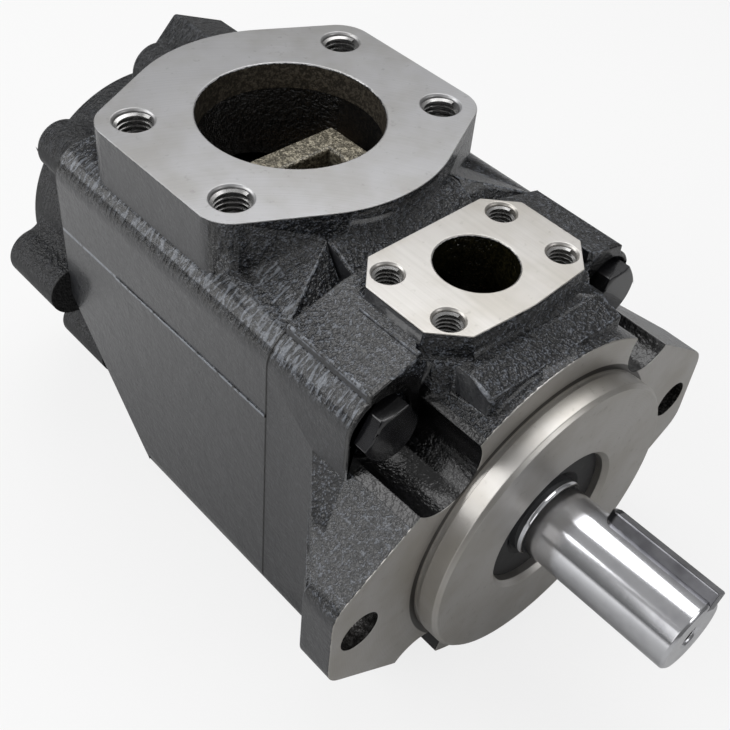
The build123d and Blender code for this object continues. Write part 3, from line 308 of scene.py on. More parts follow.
@dataclass(frozen=True)
class HolePattern:
    """The walls of four equal holes on a rectangle, bared by drill and tap."""

    axis: Axis
    centre: Point
    spacing: tuple[float, float]
    radius: float
    depth: float = 26.0

    def inside(self, spots: Spots) -> Signal:
        """1 on the walls of the holes, 0 elsewhere."""
        one, two = self.axis.others()
        a = abs(spots[one] - self.centre[one] * MM) - self.spacing[0] * MM / 2.0
        b = abs(spots[two] - self.centre[two] * MM) - self.spacing[1] * MM / 2.0
        across = length_of(a, b).fall(self.radius * MM, (self.radius + HOLE_MARGIN) * MM)
        level = self.centre[self.axis.value]
        return across * between(spots[self.axis.value], level - self.depth, level + 1.0)


@dataclass(frozen=True)
class Block:
    """A box in which a casting has its own surface or keeps its edges sharp."""

    low: Point
    high: Point

    def inside(self, spots: Spots) -> Signal:
        """1 within the box, 0 elsewhere."""
        shares = [between(spots[index], self.low[index], self.high[index]) for index in range(3)]
        return shares[0] * shares[1] * shares[2]

    def holds(self, spot: Vector) -> bool:
        """Whether a point, or its mirror image on the right, lies within the box."""
        place = (abs(spot.x) / MM, spot.y / MM, spot.z / MM)
        return all(low < value < high for low, value, high in zip(self.low, place, self.high))


def between(spot: Signal, low: float, high: float) -> Signal:
    """1 where a coordinate lies between two levels in millimetres, 0 elsewhere."""
    return spot.rise(low * MM - BLEND, low * MM) * spot.fall(high * MM, high * MM + BLEND)


def length_of(first: Signal, second: Signal) -> Signal:
    """Length of a vector with two parts."""
    return (first * first + second * second) ** 0.5


@dataclass(frozen=True)
class Port:
    """A port's machined face with four bolt holes on a rectangle, in millimetres."""

    axis: Axis
    centre: Point
    spacing: tuple[float, float]

    def face(self) -> MachinedPlane:
        """Its bare face."""
        return MachinedPlane(self.axis, self.centre[self.axis.value], 1)

    def holes(self, radius: float) -> HolePattern:
        """The walls of its bolt holes."""
        return HolePattern(self.axis, self.centre, self.spacing, radius)

    def wall(self, radius: float, start: float, end: float) -> MachinedBore:
        """A round wall on its middle, between two levels."""
        one, two = self.axis.others()
        return MachinedBore(self.axis, (self.centre[one], self.centre[two]), radius, start, end)

    def mouths(self) -> list[tuple[Vector, Matrix]]:
        """Each bolt hole's mouth and the turn that takes +Z out of it."""
        turn = Matrix.Identity(3) if self.axis is Axis.Z else Matrix.Rotation(math.radians(90.0), 3, "Y")
        one, two = self.axis.others()
        places = []
        for first in (-0.5, 0.5):
            for second in (-0.5, 0.5):
                spot = list(self.centre)
                spot[one] += first * self.spacing[0]
                spot[two] += second * self.spacing[1]
                places.append((mm(*spot), turn))
        return places


@dataclass(frozen=True)
class Tone:
    """How an inner surface looks: its hollows, its grains, and how rough, metallic and rugged it is."""

    dark: Colour
    light: Colour
    rough: float
    metallic: float
    rugged: float


@dataclass(frozen=True)
class InnerWall:
    """An inner surface of a casting: where it is and how it looks."""

    place: MachinedBore | HolePattern | Block
    tone: Tone


class Grain:
    """The patterns of a casting's surface, as signals in its material.

    Its unevenness comes in three sizes: fine, coarse and lumps. The relief joins the first two. The
    rounded upper edges are combed, and on the two flat sides the crust is thin.
    """

    def __init__(self, graph: Graph) -> None:
        """Adds the patterns to a graph."""
        self.spots = graph.parts(graph.place())
        self.fine = 1.0 - graph.cells(1150.0)
        self.coarse = graph.noise(520.0, 1.5, 0.5)
        self.lumps = graph.noise(95.0, 2.0, 0.5)
        self.combed = graph.noise(760.0, 1.0, 0.5, (0.25, 0.85, 0.25))
        self.relief = self.fine * 0.35 + self.coarse * 0.65
        normal = graph.normal()
        self.tilt = abs(normal[0])
        self.side = self.tilt.rise(0.90, 0.985)
        self.crust = 1.0 - self.side * 0.86
        rounded = self.tilt.rise(0.25, 0.5) * normal[2].rise(0.25, 0.5) * between(self.spots[2], 52.0, 80.0)
        self.rounded = rounded * self.spots[1].rise(0.026, 0.030)


@dataclass(frozen=True)
class CastingFinish:
    """Black painted sand casting with bare machined faces and bores.

    The paint is glossy and lies on coarse sand grain. It is smoother on the two flat flanks,
    which are painted lighter as painted sheen, and combed along the rounded upper edges, which
    carry painted highlight streaks. The highest grains carry painted glints, the outward edges
    painted highlights mixed with wear, the step line on the flanks a painted highlight, and the
    band where the rounded edges meet the flanks painted shade. It is dark in the joints.
    """

    name: str
    planes: tuple[MachinedPlane, ...]
    bores: tuple[HolePattern, ...]
    walls: tuple[InnerWall, ...]
    metal: Colour
    metal_rough: float
    turned: bool
    joints: tuple[float, ...] = ()
    # whether a painted highlight line runs along the flanks
    flash_highlight: bool = False
    undercut: bool = False
    edge_shade: float = 0.0
    # share of the painted glints on the highest grains
    grain_glint: float = 0.26
    # share of the painted highlight streaks along the rounded upper edges
    comb_highlight: float = 0.50
    # share of wear and painted highlight on the outward edges
    edge_wear_highlight: float = 0.42
    rough: float = 0.31
    gloss: float = 0.50
    paint: Colour = (0.007, 0.0075, 0.0085)
    # painted sheen: the two flat flanks are painted lighter, as if they caught more light
    flank_sheen: Colour = (0.026, 0.027, 0.030)
    glint: Colour = (0.030, 0.034, 0.043)
    # colour of the painted highlights, and of the wear on the outward edges
    crest: Colour = (0.30, 0.325, 0.37)
    dirt: Colour = (0.002, 0.002, 0.002)
    # colour of the painted shade band where the rounded edges meet the flanks
    shade_line: Colour = (0.003, 0.003, 0.003)
    # colour of the painted shade in the groove round the pilot
    groove_shade: Colour = (0.02, 0.018, 0.016)

    def build(self) -> bpy.types.Material:
        """Makes the material."""
        material, graph = new_graph(self.name)
        grain = Grain(graph)
        bare = self._bare(grain)
        lay = self._lay(graph, grain.spots)
        colour, rough = self._paint(graph, grain)
        colour = graph.mix(bare, colour, self._metal_colour(graph, grain.spots, lay))
        rough = rough.towards(self.metal_rough + 0.10 * (lay - 0.5) + 0.10 * (grain.lumps - 0.5), bare)
        metallic = bare * 0.9
        rugged = 1.0 - bare
        for wall in self.walls:
            tone = wall.tone
            share = wall.place.inside(grain.spots)
            colour = graph.mix(share, colour, graph.mix(grain.relief.rise(0.40, 0.66), tone.dark, tone.light))
            rough = rough.towards(tone.rough, share)
            metallic = metallic.towards(tone.metallic, share)
            rugged = rugged.towards(tone.rugged, share)
        values = {
            "Base Color": colour,
            "Roughness": rough,
            "Metallic": metallic,
            "Coat Weight": (1.0 - bare) * self.gloss,
            "Coat Roughness": 0.14,
            "Normal": graph.bump(*self._heights(grain, rugged), (lay * bare, CUT_DEPTH)),
        }
        close_graph(graph, values)
        return material

    @staticmethod
    def _heights(grain: Grain, rugged: Signal) -> tuple[tuple[Signal, float], ...]:
        """The casting's relief, in layers with their depths in metres."""
        return (
            (grain.fine * grain.crust * rugged, 0.00038),
            (grain.coarse * grain.crust * rugged, 0.00150),
            (grain.combed * grain.rounded * rugged, 0.00230),
            (grain.fine * grain.side * rugged, 0.00005),
            (grain.coarse * grain.side * rugged, 0.00010),
            (grain.lumps * rugged, 0.00090),
        )

    def _paint(self, graph: Graph, grain: Grain) -> tuple[Socket, Signal]:
        """Colour and roughness of the paint: painted glints, sheen, highlights and shade, edge wear, and dark
        joints.
        """
        # painted glints: the higher grains are painted a lighter blue-grey
        colour = graph.mix(grain.relief.rise(0.44, 0.64) * grain.crust, self.paint, self.glint)
        # painted sheen: a lighter colour on the two flat flanks
        colour = graph.mix(grain.side * (0.8 + 0.3 * (grain.fine - 0.5)), colour, self.flank_sheen)
        # painted glints: the highest grains are painted in the highlight colour
        grains = grain.relief.rise(0.55, 0.68) * 0.7 * self.grain_glint
        # painted highlight: bright combed streaks on the rounded upper edges, where the light falls
        strip_highlights = grain.rounded * grain.combed.rise(0.50, 0.62) * self.comb_highlight
        colour = graph.mix(grains.at_least(strip_highlights) * grain.crust, colour, self.crest)
        # painted shade: a dark band where the rounded upper edges turn into the flat flanks
        shade_line = grain.tilt.rise(0.78, 0.88) * grain.tilt.fall(0.93, 0.975) * self.edge_shade
        colour = graph.mix(shade_line, colour, self.shade_line)
        # painted highlight mixed with wear: the outward edges are painted in patches of the highlight colour
        marked = graph.node("ShaderNodeAttribute", {"attribute_name": WEAR_HIGHLIGHT_MARK}).outputs["Fac"]
        patches = (grain.coarse * 0.6 + grain.lumps * 0.4).rise(0.36, 0.62)
        colour = graph.mix(Signal(graph, marked) * patches * self.edge_wear_highlight, colour, self.crest)
        rough = self.rough - 0.12 * grain.coarse + 0.18 * grain.side
        # painted highlight: a bright line on the flanks standing in for a lit step that isn't modelled
        if self.flash_highlight:
            ridge = between(grain.spots[2], *FLASH_HIGHLIGHT_LEVELS) * grain.tilt.rise(0.2, 0.4)
            colour = graph.mix(ridge * grain.coarse.rise(0.30, 0.48) * 0.6, colour, self.crest)
        for joint in self.joints:
            gap = abs(grain.spots[1] - joint * MM).fall(0.0004, 0.0007)
            colour = graph.mix(gap, colour, self.dirt)
            rough = rough + 0.4 * gap
        return colour, rough

    def _bare(self, grain: Grain) -> Signal:
        """Share of bare metal, with a ragged border on the faces."""
        waver = (grain.coarse - 0.5) * 0.0008 + (grain.lumps - 0.5) * 0.0004
        bare = self.planes[0].bare(grain.spots, waver)
        for plane in self.planes[1:]:
            bare = bare.at_least(plane.bare(grain.spots, waver))
        for bore in self.bores:
            bare = bare.at_least(bore.inside(grain.spots))
        return bare

    def _metal_colour(self, graph: Graph, spots: Spots, lay: Signal) -> Socket:
        """Cut iron with faint stains and cutter's marks, and painted shade in the groove round the pilot."""
        warmer = tuple(value * factor for value, factor in zip(self.metal, (0.86, 0.845, 0.81)))
        darker = tuple(value * 0.6 for value in warmer)
        colour = graph.mix(graph.noise(38.0, 3.0, 0.6).rise(0.35, 0.7), self.metal, warmer)
        colour = graph.mix(graph.noise(300.0, 2.0, 0.7).rise(0.62, 0.75) * 0.35, colour, darker)
        colour = graph.mix(lay.rise(0.2, 0.8) * 0.16, colour, darker)
        if self.undercut:
            distance = length_of(spots[0], spots[2])
            groove = distance.rise(0.0630, 0.0635) * distance.fall(0.0655, 0.0660)
            groove = groove * spots[1].rise(-0.0012, -0.0004)
            # painted shade in the groove round the pilot
            colour = graph.mix(groove * 0.85, colour, self.groove_shade)
        return colour

    def _lay(self, graph: Graph, spots: Spots) -> Signal:
        """Cutter's marks: rings round the shaft axis on a turned face, wide arcs on a milled one."""
        if self.turned:
            return graph.rings(length_of(spots[0], spots[2]), 0.00035)
        return graph.rings(length_of(spots[0] + 0.11, spots[1] - 0.02), 0.0007)


@dataclass(frozen=True)
class SteelFinish:
    """Ground, drawn or oiled steel, with marks round the shaft axis."""

    name: str
    colour: Colour
    second: Colour
    rough: float
    metallic: float = 1.0
    ring_depth: float = 0.000004
    ring_pitch: float = 0.0002
    wear: float = 0.12
    coat: float = 0.0

    def build(self) -> bpy.types.Material:
        """Makes the material."""
        material, graph = new_graph(self.name)
        spots = graph.parts(graph.place())
        marks = graph.rings(spots[1], self.ring_pitch)
        blotch = graph.noise(60.0, 3.0, 0.6)
        specks = graph.noise(900.0, 2.0, 0.5)
        colour = graph.mix(blotch.rise(0.4, 0.75), self.colour, self.second)
        rough = self.rough + self.wear * (blotch - 0.5) + 0.06 * (marks - 0.5)
        normal_out = graph.bump((marks, self.ring_depth), (specks, self.ring_depth * 0.5))
        values = {
            "Base Color": colour,
            "Roughness": rough,
            "Metallic": self.metallic,
            "Coat Weight": self.coat,
            "Normal": normal_out,
        }
        close_graph(graph, values)
        return material


@dataclass(frozen=True)
class RubberFinish:
    """Matt black rubber with a bloom."""

    name: str
    dark: Colour = (0.008, 0.008, 0.009)
    light: Colour = (0.026, 0.026, 0.027)
    depth: float = 0.00005

    def build(self) -> bpy.types.Material:
        """Makes the material."""
        material, graph = new_graph(self.name)
        bloom = graph.noise(220.0, 3.0, 0.6)
        values = {
            "Base Color": graph.mix(bloom.rise(0.4, 0.8), self.dark, self.light),
            "Roughness": 0.45 + 0.25 * bloom,
            "Normal": graph.bump((bloom, self.depth)),
        }
        close_graph(graph, values)
        return material


FRONT_JOINT = 74.0
REAR_JOINT = 213.0
SHAFT_AXIS = (0.0, 0.0)
MOUNT_X = 90.5
SUCTION_PORT = Port(Axis.Z, (0.0, 152.0, 98.0), (106.4, 61.9))
FRONT_PORT = Port(Axis.Z, (0.0, 48.0, 90.0), (58.7, 30.2))
REAR_PORT = Port(Axis.X, (88.0, 247.0, 0.0), (26.2, 52.4))
# painted shade: the suction gallery is painted nearly black
SHADED_GALLERY = Tone((0.004, 0.004, 0.004), (0.014, 0.012, 0.010), 0.40, 0.0, 1.0)
SUCTION_RING = Tone((0.055, 0.048, 0.038), (0.16, 0.14, 0.11), 0.34, 0.55, 0.35)
WEB = Tone((0.10, 0.088, 0.062), (0.42, 0.38, 0.29), 0.38, 0.45, 1.0)
# painted shade: the hollows in front of the front cap's bolt heads are painted black
SHADED_BOLT_POCKET = Tone((0.002, 0.002, 0.002), (0.006, 0.006, 0.007), 0.24, 0.0, 0.35)
# painted light: the two mounting holes are alike, the left painted lighter as if lit, the right darker as if
# shaded
LIT_LEFT_MOUNT = Tone((0.06, 0.058, 0.055), (0.24, 0.235, 0.23), 0.26, 0.8, 0.1)
SHADED_RIGHT_MOUNT = Tone((0.03, 0.029, 0.028), (0.14, 0.135, 0.13), 0.30, 0.7, 0.1)
OILY_BORE = Tone((0.004, 0.004, 0.002), (0.016, 0.014, 0.006), 0.12, 0.0, 0.7)


@dataclass(frozen=True)
class Finishes:
    """All the finishes of the pump."""

    housing: CastingFinish = CastingFinish(
        name="painted_housing",
        planes=(SUCTION_PORT.face(),),
        bores=(SUCTION_PORT.holes(9.4),),
        walls=(
            InnerWall(SUCTION_PORT.wall(41.2, -60.0, 86.0), SHADED_GALLERY),
            InnerWall(SUCTION_PORT.wall(38.1, 86.0, 97.3), SUCTION_RING),
            InnerWall(Block((-38.5, 143.5, 45.0), (27.0, 156.5, 80.6)), WEB),
            InnerWall(Block((13.5, 119.5, 61.0), (26.5, 157.0, 80.6)), WEB),
        ),
        metal=(0.46, 0.46, 0.47),
        metal_rough=0.42,
        turned=False,
        joints=(FRONT_JOINT, REAR_JOINT),
        flash_highlight=True,
        edge_shade=0.8,
        grain_glint=0.32,
        gloss=0.46,
    )
    front_cap: CastingFinish = CastingFinish(
        name="painted_front_cap",
        planes=(FRONT_PORT.face(), MachinedPlane(Axis.Y, 0.0, -1)),
        bores=(FRONT_PORT.holes(6.9),),
        walls=(
            InnerWall(HolePattern(Axis.Y, (0.0, 31.0, 0.0), (119.0, 120.0), 20.4, 30.7), SHADED_BOLT_POCKET),
            InnerWall(MachinedBore(Axis.Y, (-MOUNT_X, 0.0), 8.75, 0.2, 17.0), LIT_LEFT_MOUNT),
            InnerWall(MachinedBore(Axis.Y, (MOUNT_X, 0.0), 8.75, 0.2, 17.0), SHADED_RIGHT_MOUNT),
            InnerWall(FRONT_PORT.wall(15.875, 30.0, 89.3), OILY_BORE),
        ),
        metal=(0.53, 0.515, 0.495),
        metal_rough=0.38,
        grain_glint=0.42,
        gloss=0.38,
        # a weaker painted sheen on the front cap's flanks
        flank_sheen=(0.018, 0.019, 0.0220),
        turned=True,
        joints=(FRONT_JOINT,),
        undercut=True,
    )
    # painted shade: the rear cap gets a darker, matt copy of the paint, as if it stood in shadow
    rear_cap: CastingFinish = CastingFinish(
        name="painted_rear_cap",
        planes=(REAR_PORT.face(),),
        bores=(REAR_PORT.holes(6.0),),
        walls=(InnerWall(REAR_PORT.wall(12.7, 30.0, 87.3), OILY_BORE),),
        metal=(0.56, 0.56, 0.57),
        metal_rough=0.42,
        turned=False,
        joints=(REAR_JOINT,),
        grain_glint=0.05,
        comb_highlight=0.05,
        edge_wear_highlight=0.10,
        rough=0.52,
        gloss=0.0,
        flank_sheen=(0.012, 0.0125, 0.014),
        glint=(0.016, 0.017, 0.020),
    )
    black_steel: SteelFinish = SteelFinish(
        "black_steel", (0.008, 0.008, 0.009), (0.02, 0.02, 0.023), 0.2, metallic=0.2, coat=0.6
    )
    ground_steel: SteelFinish = SteelFinish(
        "ground_steel", (0.74, 0.745, 0.77), (0.60, 0.60, 0.63), 0.13, wear=0.14
    )
    key_steel: SteelFinish = SteelFinish("key_steel", (0.22, 0.22, 0.235), (0.12, 0.12, 0.13), 0.3)
    spring_steel: SteelFinish = SteelFinish("spring_steel", (0.15, 0.15, 0.16), (0.1, 0.1, 0.11), 0.4)
    bearing_steel: SteelFinish = SteelFinish("bearing_steel", (0.66, 0.66, 0.67), (0.58, 0.58, 0.6), 0.16)
    hard_steel: SteelFinish = SteelFinish("hard_steel", (0.46, 0.455, 0.45), (0.3, 0.295, 0.29), 0.26)
    vane_steel: SteelFinish = SteelFinish("vane_steel", (0.5, 0.5, 0.52), (0.42, 0.42, 0.44), 0.24)
    brass: SteelFinish = SteelFinish("brass", (0.62, 0.43, 0.18), (0.5, 0.33, 0.14), 0.3)
    bronze: SteelFinish = SteelFinish("bronze", (0.45, 0.33, 0.2), (0.34, 0.25, 0.16), 0.36)
    rubber: RubberFinish = RubberFinish("seal_rubber")


FINISHES = Finishes()
MATERIALS: dict[str, bpy.types.Material] = {}


def material_of(finish: Any) -> bpy.types.Material:
    """The material of a finish, made once."""
    if finish.name not in MATERIALS:
        MATERIALS[finish.name] = finish.build()
    return MATERIALS[finish.name]


# Modelling


def only(piece: Piece) -> None:
    """Selects one object and makes it active."""
    bpy.ops.object.select_all(action="DESELECT")
    piece.select_set(True)
    bpy.context.view_layer.objects.active = piece


def dress(piece: Piece, finish: Any) -> None:
    """Puts one finish on an object."""
    piece.data.materials.clear()
    piece.data.materials.append(material_of(finish))


def settle(piece: Piece, name: str, body: str, finish: Any) -> None:
    """Names a finished piece, gives it its finish and fixes it to its body.

    Args:
        piece: The finished object.
        name: Its name.
        body: The body that it moves with.
        finish: Its finish.
    """
    piece.name = name
    piece.data.name = name
    dress(piece, finish)
    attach(piece, body)
    LOG.info("%s rides on %s, %d faces", name, body, len(piece.data.polygons))


def join(pieces: list[Piece]) -> Piece:
    """Makes one object of several, or of one."""
    bpy.ops.object.select_all(action="DESELECT")
    for piece in pieces:
        piece.select_set(True)
    bpy.context.view_layer.objects.active = pieces[0]
    if len(pieces) > 1:
        bpy.ops.object.join()
    return pieces[0]


def merge_with(piece: Piece, tools: list[Piece], joining: Joining) -> None:
    """Cuts tools from a piece, or adds them to it, and removes them.

    Args:
        piece: The piece that changes.
        tools: Closed bodies that don't touch each other.
        joining: Whether they are cut or added.
    """
    joined = join(tools)
    only(piece)
    change = piece.modifiers.new("shape", "BOOLEAN")
    change.operation = joining.value
    change.solver = "EXACT"
    change.object = joined
    bpy.ops.object.modifier_apply(modifier=change.name)
    bpy.data.objects.remove(joined)


@dataclass
class Swell:
    """A rib or a sloping facet on both sides of a casting: the smallest body round its points."""

    points: tuple[Point, ...]

    def shape(self, piece: Piece) -> None:
        """Adds it to a piece on the left and on the right."""
        merge_with(piece, [self._body(side) for side in (1.0, -1.0)], Joining.ADDED)

    def _body(self, side: float) -> Piece:
        """The body on one side: 1 as the points say, -1 mirrored."""
        bpy.ops.mesh.primitive_circle_add(vertices=len(self.points), radius=0.01)
        body = bpy.context.object
        for vertex, point in zip(body.data.vertices, self.points):
            vertex.co = mm(side * point[0], point[1], point[2])
        bpy.ops.object.transform_apply(location=True, rotation=True, scale=True)
        bpy.ops.object.mode_set(mode="EDIT")
        bpy.ops.mesh.select_all(action="SELECT")
        bpy.ops.mesh.convex_hull()
        bpy.ops.mesh.select_all(action="SELECT")
        bpy.ops.mesh.normals_make_consistent(inside=False)
        bpy.ops.object.mode_set(mode="OBJECT")
        return body


@dataclass
class CornerCut:
    """Flats that cut the four round corners of a rectangular pad at 45 degrees."""

    centre: tuple[float, float]
    chord: tuple[float, float]
    levels: tuple[float, float]
    top: float
    half: float = 10.0

    def shape(self, piece: Piece) -> None:
        """Takes the corners off a piece."""
        corners = [(x, y, level) for x in (-1, 1) for y, level in zip((-1, 1), self.levels)]
        merge_with(piece, [self._block(*corner) for corner in corners], Joining.CUT)

    def _block(self, side_x: int, side_y: int, level: float) -> Piece:
        """The block that takes one corner off."""
        out = self.half / math.sqrt(2.0)
        x = self.centre[0] + side_x * (self.chord[0] + out)
        y = self.centre[1] + side_y * (self.chord[1] + out)
        middle = mm(x, y, (level + self.top) / 2.0)
        bpy.ops.mesh.primitive_cube_add(size=1.0, location=middle, rotation=(0.0, 0.0, math.radians(45.0)))
        block = bpy.context.object
        block.scale = mm(2.0 * self.half, 2.0 * self.half, self.top - level)
        bpy.ops.object.transform_apply(location=True, rotation=True, scale=True)
        return block


@contextmanager
def editing(piece: Piece) -> Iterator[bmesh.types.BMesh]:
    """Opens a piece's mesh, and writes it back at the end."""
    mesh = bmesh.new()
    mesh.from_mesh(piece.data)
    yield mesh
    mesh.to_mesh(piece.data)
    mesh.free()


def direction(edge: Edge) -> Vector:
    """Unit vector along an edge."""
    return (edge.verts[1].co - edge.verts[0].co).normalized()


@dataclass
class SoftEdges:
    """A clean copy of a CAD piece whose hard edges are broken, more on a casting than on a cut face.

    Widths are in millimetres. An edge takes a share of the narrower face beside it, and of the
    shortest edge at its ends that isn't straight on. Edges in the spared boxes stay sharp. A face is
    cut where it touches a plane or is within reach of a bore.
    """

    node: str
    name: str
    body: str
    slot: str
    finish: Any
    cast_width: float
    cut_width: float
    planes: tuple[MachinedPlane, ...] = ()
    bores: tuple[MachinedBore, ...] = ()
    shapes: tuple[CornerCut | Swell, ...] = ()
    spared: tuple[Block, ...] = ()
    angle: float = 28.0
    segments: int = 3
    across_share: float = 0.35
    along_share: float = 0.45
    least: float = 0.1
    straight: float = 0.87
    touch: float = 0.1
    reach: float = 0.3
    weld: float = 0.002
    flat_angle: float = 0.4
    smooth_angle: float = 35.0

    def build(self) -> None:
        """Makes the copy, breaks its edges and lets it replace the CAD piece."""
        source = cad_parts[self.node]
        piece = bpy.data.objects.new(self.name, source.data.copy())
        bpy.context.scene.collection.objects.link(piece)
        self._merge(piece)
        for shape in self.shapes:
            shape.shape(piece)
        self._weigh(piece)
        self._bevel(piece)
        self._mark_wear_highlight(piece)
        bpy.ops.object.shade_smooth_by_angle(angle=math.radians(self.smooth_angle))
        flat = piece.modifiers.new("flat_faces", "WEIGHTED_NORMAL")
        flat.weight = 100
        flat.keep_sharp = True
        bpy.ops.object.modifier_apply(modifier=flat.name)
        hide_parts(self.node)
        settle(piece, self.name, self.body, self.finish)

    def _merge(self, piece: Piece) -> None:
        """Makes one surface of the loose triangles, with whole flat faces."""
        with editing(piece) as mesh:
            bmesh.ops.remove_doubles(mesh, verts=mesh.verts[:], dist=self.weld * MM)
            limit = math.radians(self.flat_angle)
            bmesh.ops.dissolve_limit(mesh, angle_limit=limit, verts=mesh.verts[:], edges=mesh.edges[:])

    def _weigh(self, piece: Piece) -> None:
        """Marks the hard edges for the bevel, each with the width that fits between its neighbours."""
        with editing(piece) as mesh:
            weight = mesh.edges.layers.float.new("bevel_weight_edge")
            limit = math.radians(self.angle)
            hard = {edge for edge in mesh.edges if edge.calc_face_angle_signed(0.0) > limit}
            for edge in hard:
                cut = any(self._is_cut(face) for face in edge.link_faces)
                room = min(self._across(edge) * self.across_share, self._along(edge, hard) * self.along_share)
                width = min(self.cut_width if cut else self.cast_width, room)
                kept = width < self.least or self._is_spared(edge)
                edge[weight] = 0.0 if kept else width / self.cast_width

    def _bevel(self, piece: Piece) -> None:
        """Rounds the marked edges. The new faces get the second of two material slots."""
        only(piece)
        bevel = piece.modifiers.new("edges", "BEVEL")
        bevel.width = self.cast_width * MM
        bevel.segments = self.segments
        bevel.limit_method = "WEIGHT"
        bevel.use_clamp_overlap = False
        bevel.miter_outer = "MITER_ARC"
        for _ in range(2):
            piece.data.materials.append(None)
        bevel.material = 1
        bpy.ops.object.modifier_apply(modifier=bevel.name)

    def _along(self, edge: Edge, hard: set[Edge]) -> float:
        """Millimetres along the shortest edge that turns off at an edge's ends, or along the edge itself."""
        lengths = [math.inf]
        for vertex in edge.verts:
            for other in vertex.link_edges:
                if other not in hard:
                    lengths.append(other.calc_length())
                elif abs(direction(edge).dot(direction(other))) < self.straight:
                    lengths += [other.calc_length(), edge.calc_length()]
        return min(lengths) / MM

    @staticmethod
    def _across(edge: Edge) -> float:
        """Millimetres across the narrower of the two faces at an edge."""
        start = edge.verts[0].co
        along = direction(edge)
        widths = []
        for face in edge.link_faces:
            offsets = [vertex.co - start for vertex in face.verts]
            widths.append(max((offset - along * offset.dot(along)).length for offset in offsets))
        return min(widths) / MM

    @staticmethod
    def _mark_wear_highlight(piece: Piece) -> None:
        """Marks the outward edges, where the paint wears first and painted highlights go, in an attribute of
        the faces.
        """
        with editing(piece) as mesh:
            mark = mesh.faces.layers.float.new(WEAR_HIGHLIGHT_MARK)
            for face in mesh.faces:
                if face.material_index == 1:
                    bend = sum(edge.calc_face_angle_signed(0.0) for edge in face.edges)
                    face[mark] = 1.0 if bend > 0.1 else 0.0
                face.material_index = 0

    def _is_spared(self, edge: Edge) -> bool:
        """Whether an edge lies where the edges stay sharp."""
        middle = (edge.verts[0].co + edge.verts[1].co) / 2.0
        return any(block.holds(middle) for block in self.spared)

    def _is_cut(self, face: bmesh.types.BMFace) -> bool:
        """Whether a cutter made a face."""
        middle = face.calc_center_median()
        for plane in self.planes:
            if abs(middle[plane.axis.value] - plane.level * MM) < self.touch * MM:
                return True
        for bore in self.bores:
            one, two = bore.axis.others()
            across = math.hypot(middle[one] - bore.centre[0] * MM, middle[two] - bore.centre[1] * MM)
            level = middle[bore.axis.value] / MM
            if across < (bore.radius + self.reach) * MM and bore.start < level < bore.end:
                return True
        return False


@dataclass
class InnerThread:
    """Helical ridge of a threaded hole, modelled once and copied to each hole, in millimetres.

    Its depth and half width are shares of the pitch, and the crest is a share of the root's width.
    """

    name: str
    major_r: float
    pitch: float
    start: float
    turns: int
    places: list[tuple[Vector, Matrix]]
    body: str
    slot: str
    finish: Any
    steps: int = 28
    depth: float = 0.54
    half_width: float = 0.42
    crest: float = 0.22
    buried: float = 0.15
    smooth_angle: float = 40.0

    def build(self) -> None:
        """Makes the ridges of all the holes as one piece."""
        ridge = self._ridge()
        copies = []
        for spot, turn in self.places:
            copy = ridge.copy()
            copy.data = ridge.data.copy()
            bpy.context.scene.collection.objects.link(copy)
            copy.data.transform(Matrix.Translation(spot) @ turn.to_4x4())
            copies.append(copy)
        bpy.data.objects.remove(ridge)
        settle(join(copies), self.name, self.body, self.finish)

    def _ridge(self) -> Piece:
        """One ridge along +Z, going down from its start."""
        crest_r = self.major_r - self.depth * self.pitch
        root_r = self.major_r + self.buried
        half = self.half_width * self.pitch
        flat = half * self.crest
        bpy.ops.mesh.primitive_circle_add(vertices=4, radius=MM, location=(0, 0, 0))
        piece = bpy.context.object
        corners = ((root_r, -half), (crest_r, -flat), (crest_r, flat), (root_r, half))
        for vertex, (radius, height) in zip(piece.data.vertices, corners):
            vertex.co = mm(radius, 0.0, height - self.start)
        screw = piece.modifiers.new("helix", "SCREW")
        screw.axis = "Z"
        screw.angle = math.tau
        screw.screw_offset = -self.pitch * MM
        screw.iterations = self.turns
        screw.steps = self.steps
        screw.render_steps = self.steps
        screw.use_merge_vertices = False
        only(piece)
        bpy.ops.object.modifier_apply(modifier=screw.name)
        bpy.ops.object.mode_set(mode="EDIT")
        bpy.ops.mesh.select_all(action="SELECT")
        bpy.ops.mesh.fill_holes(sides=0)
        bpy.ops.mesh.normals_make_consistent(inside=False)
        bpy.ops.object.mode_set(mode="OBJECT")
        bpy.ops.object.shade_smooth_by_angle(angle=math.radians(self.smooth_angle))
        return piece


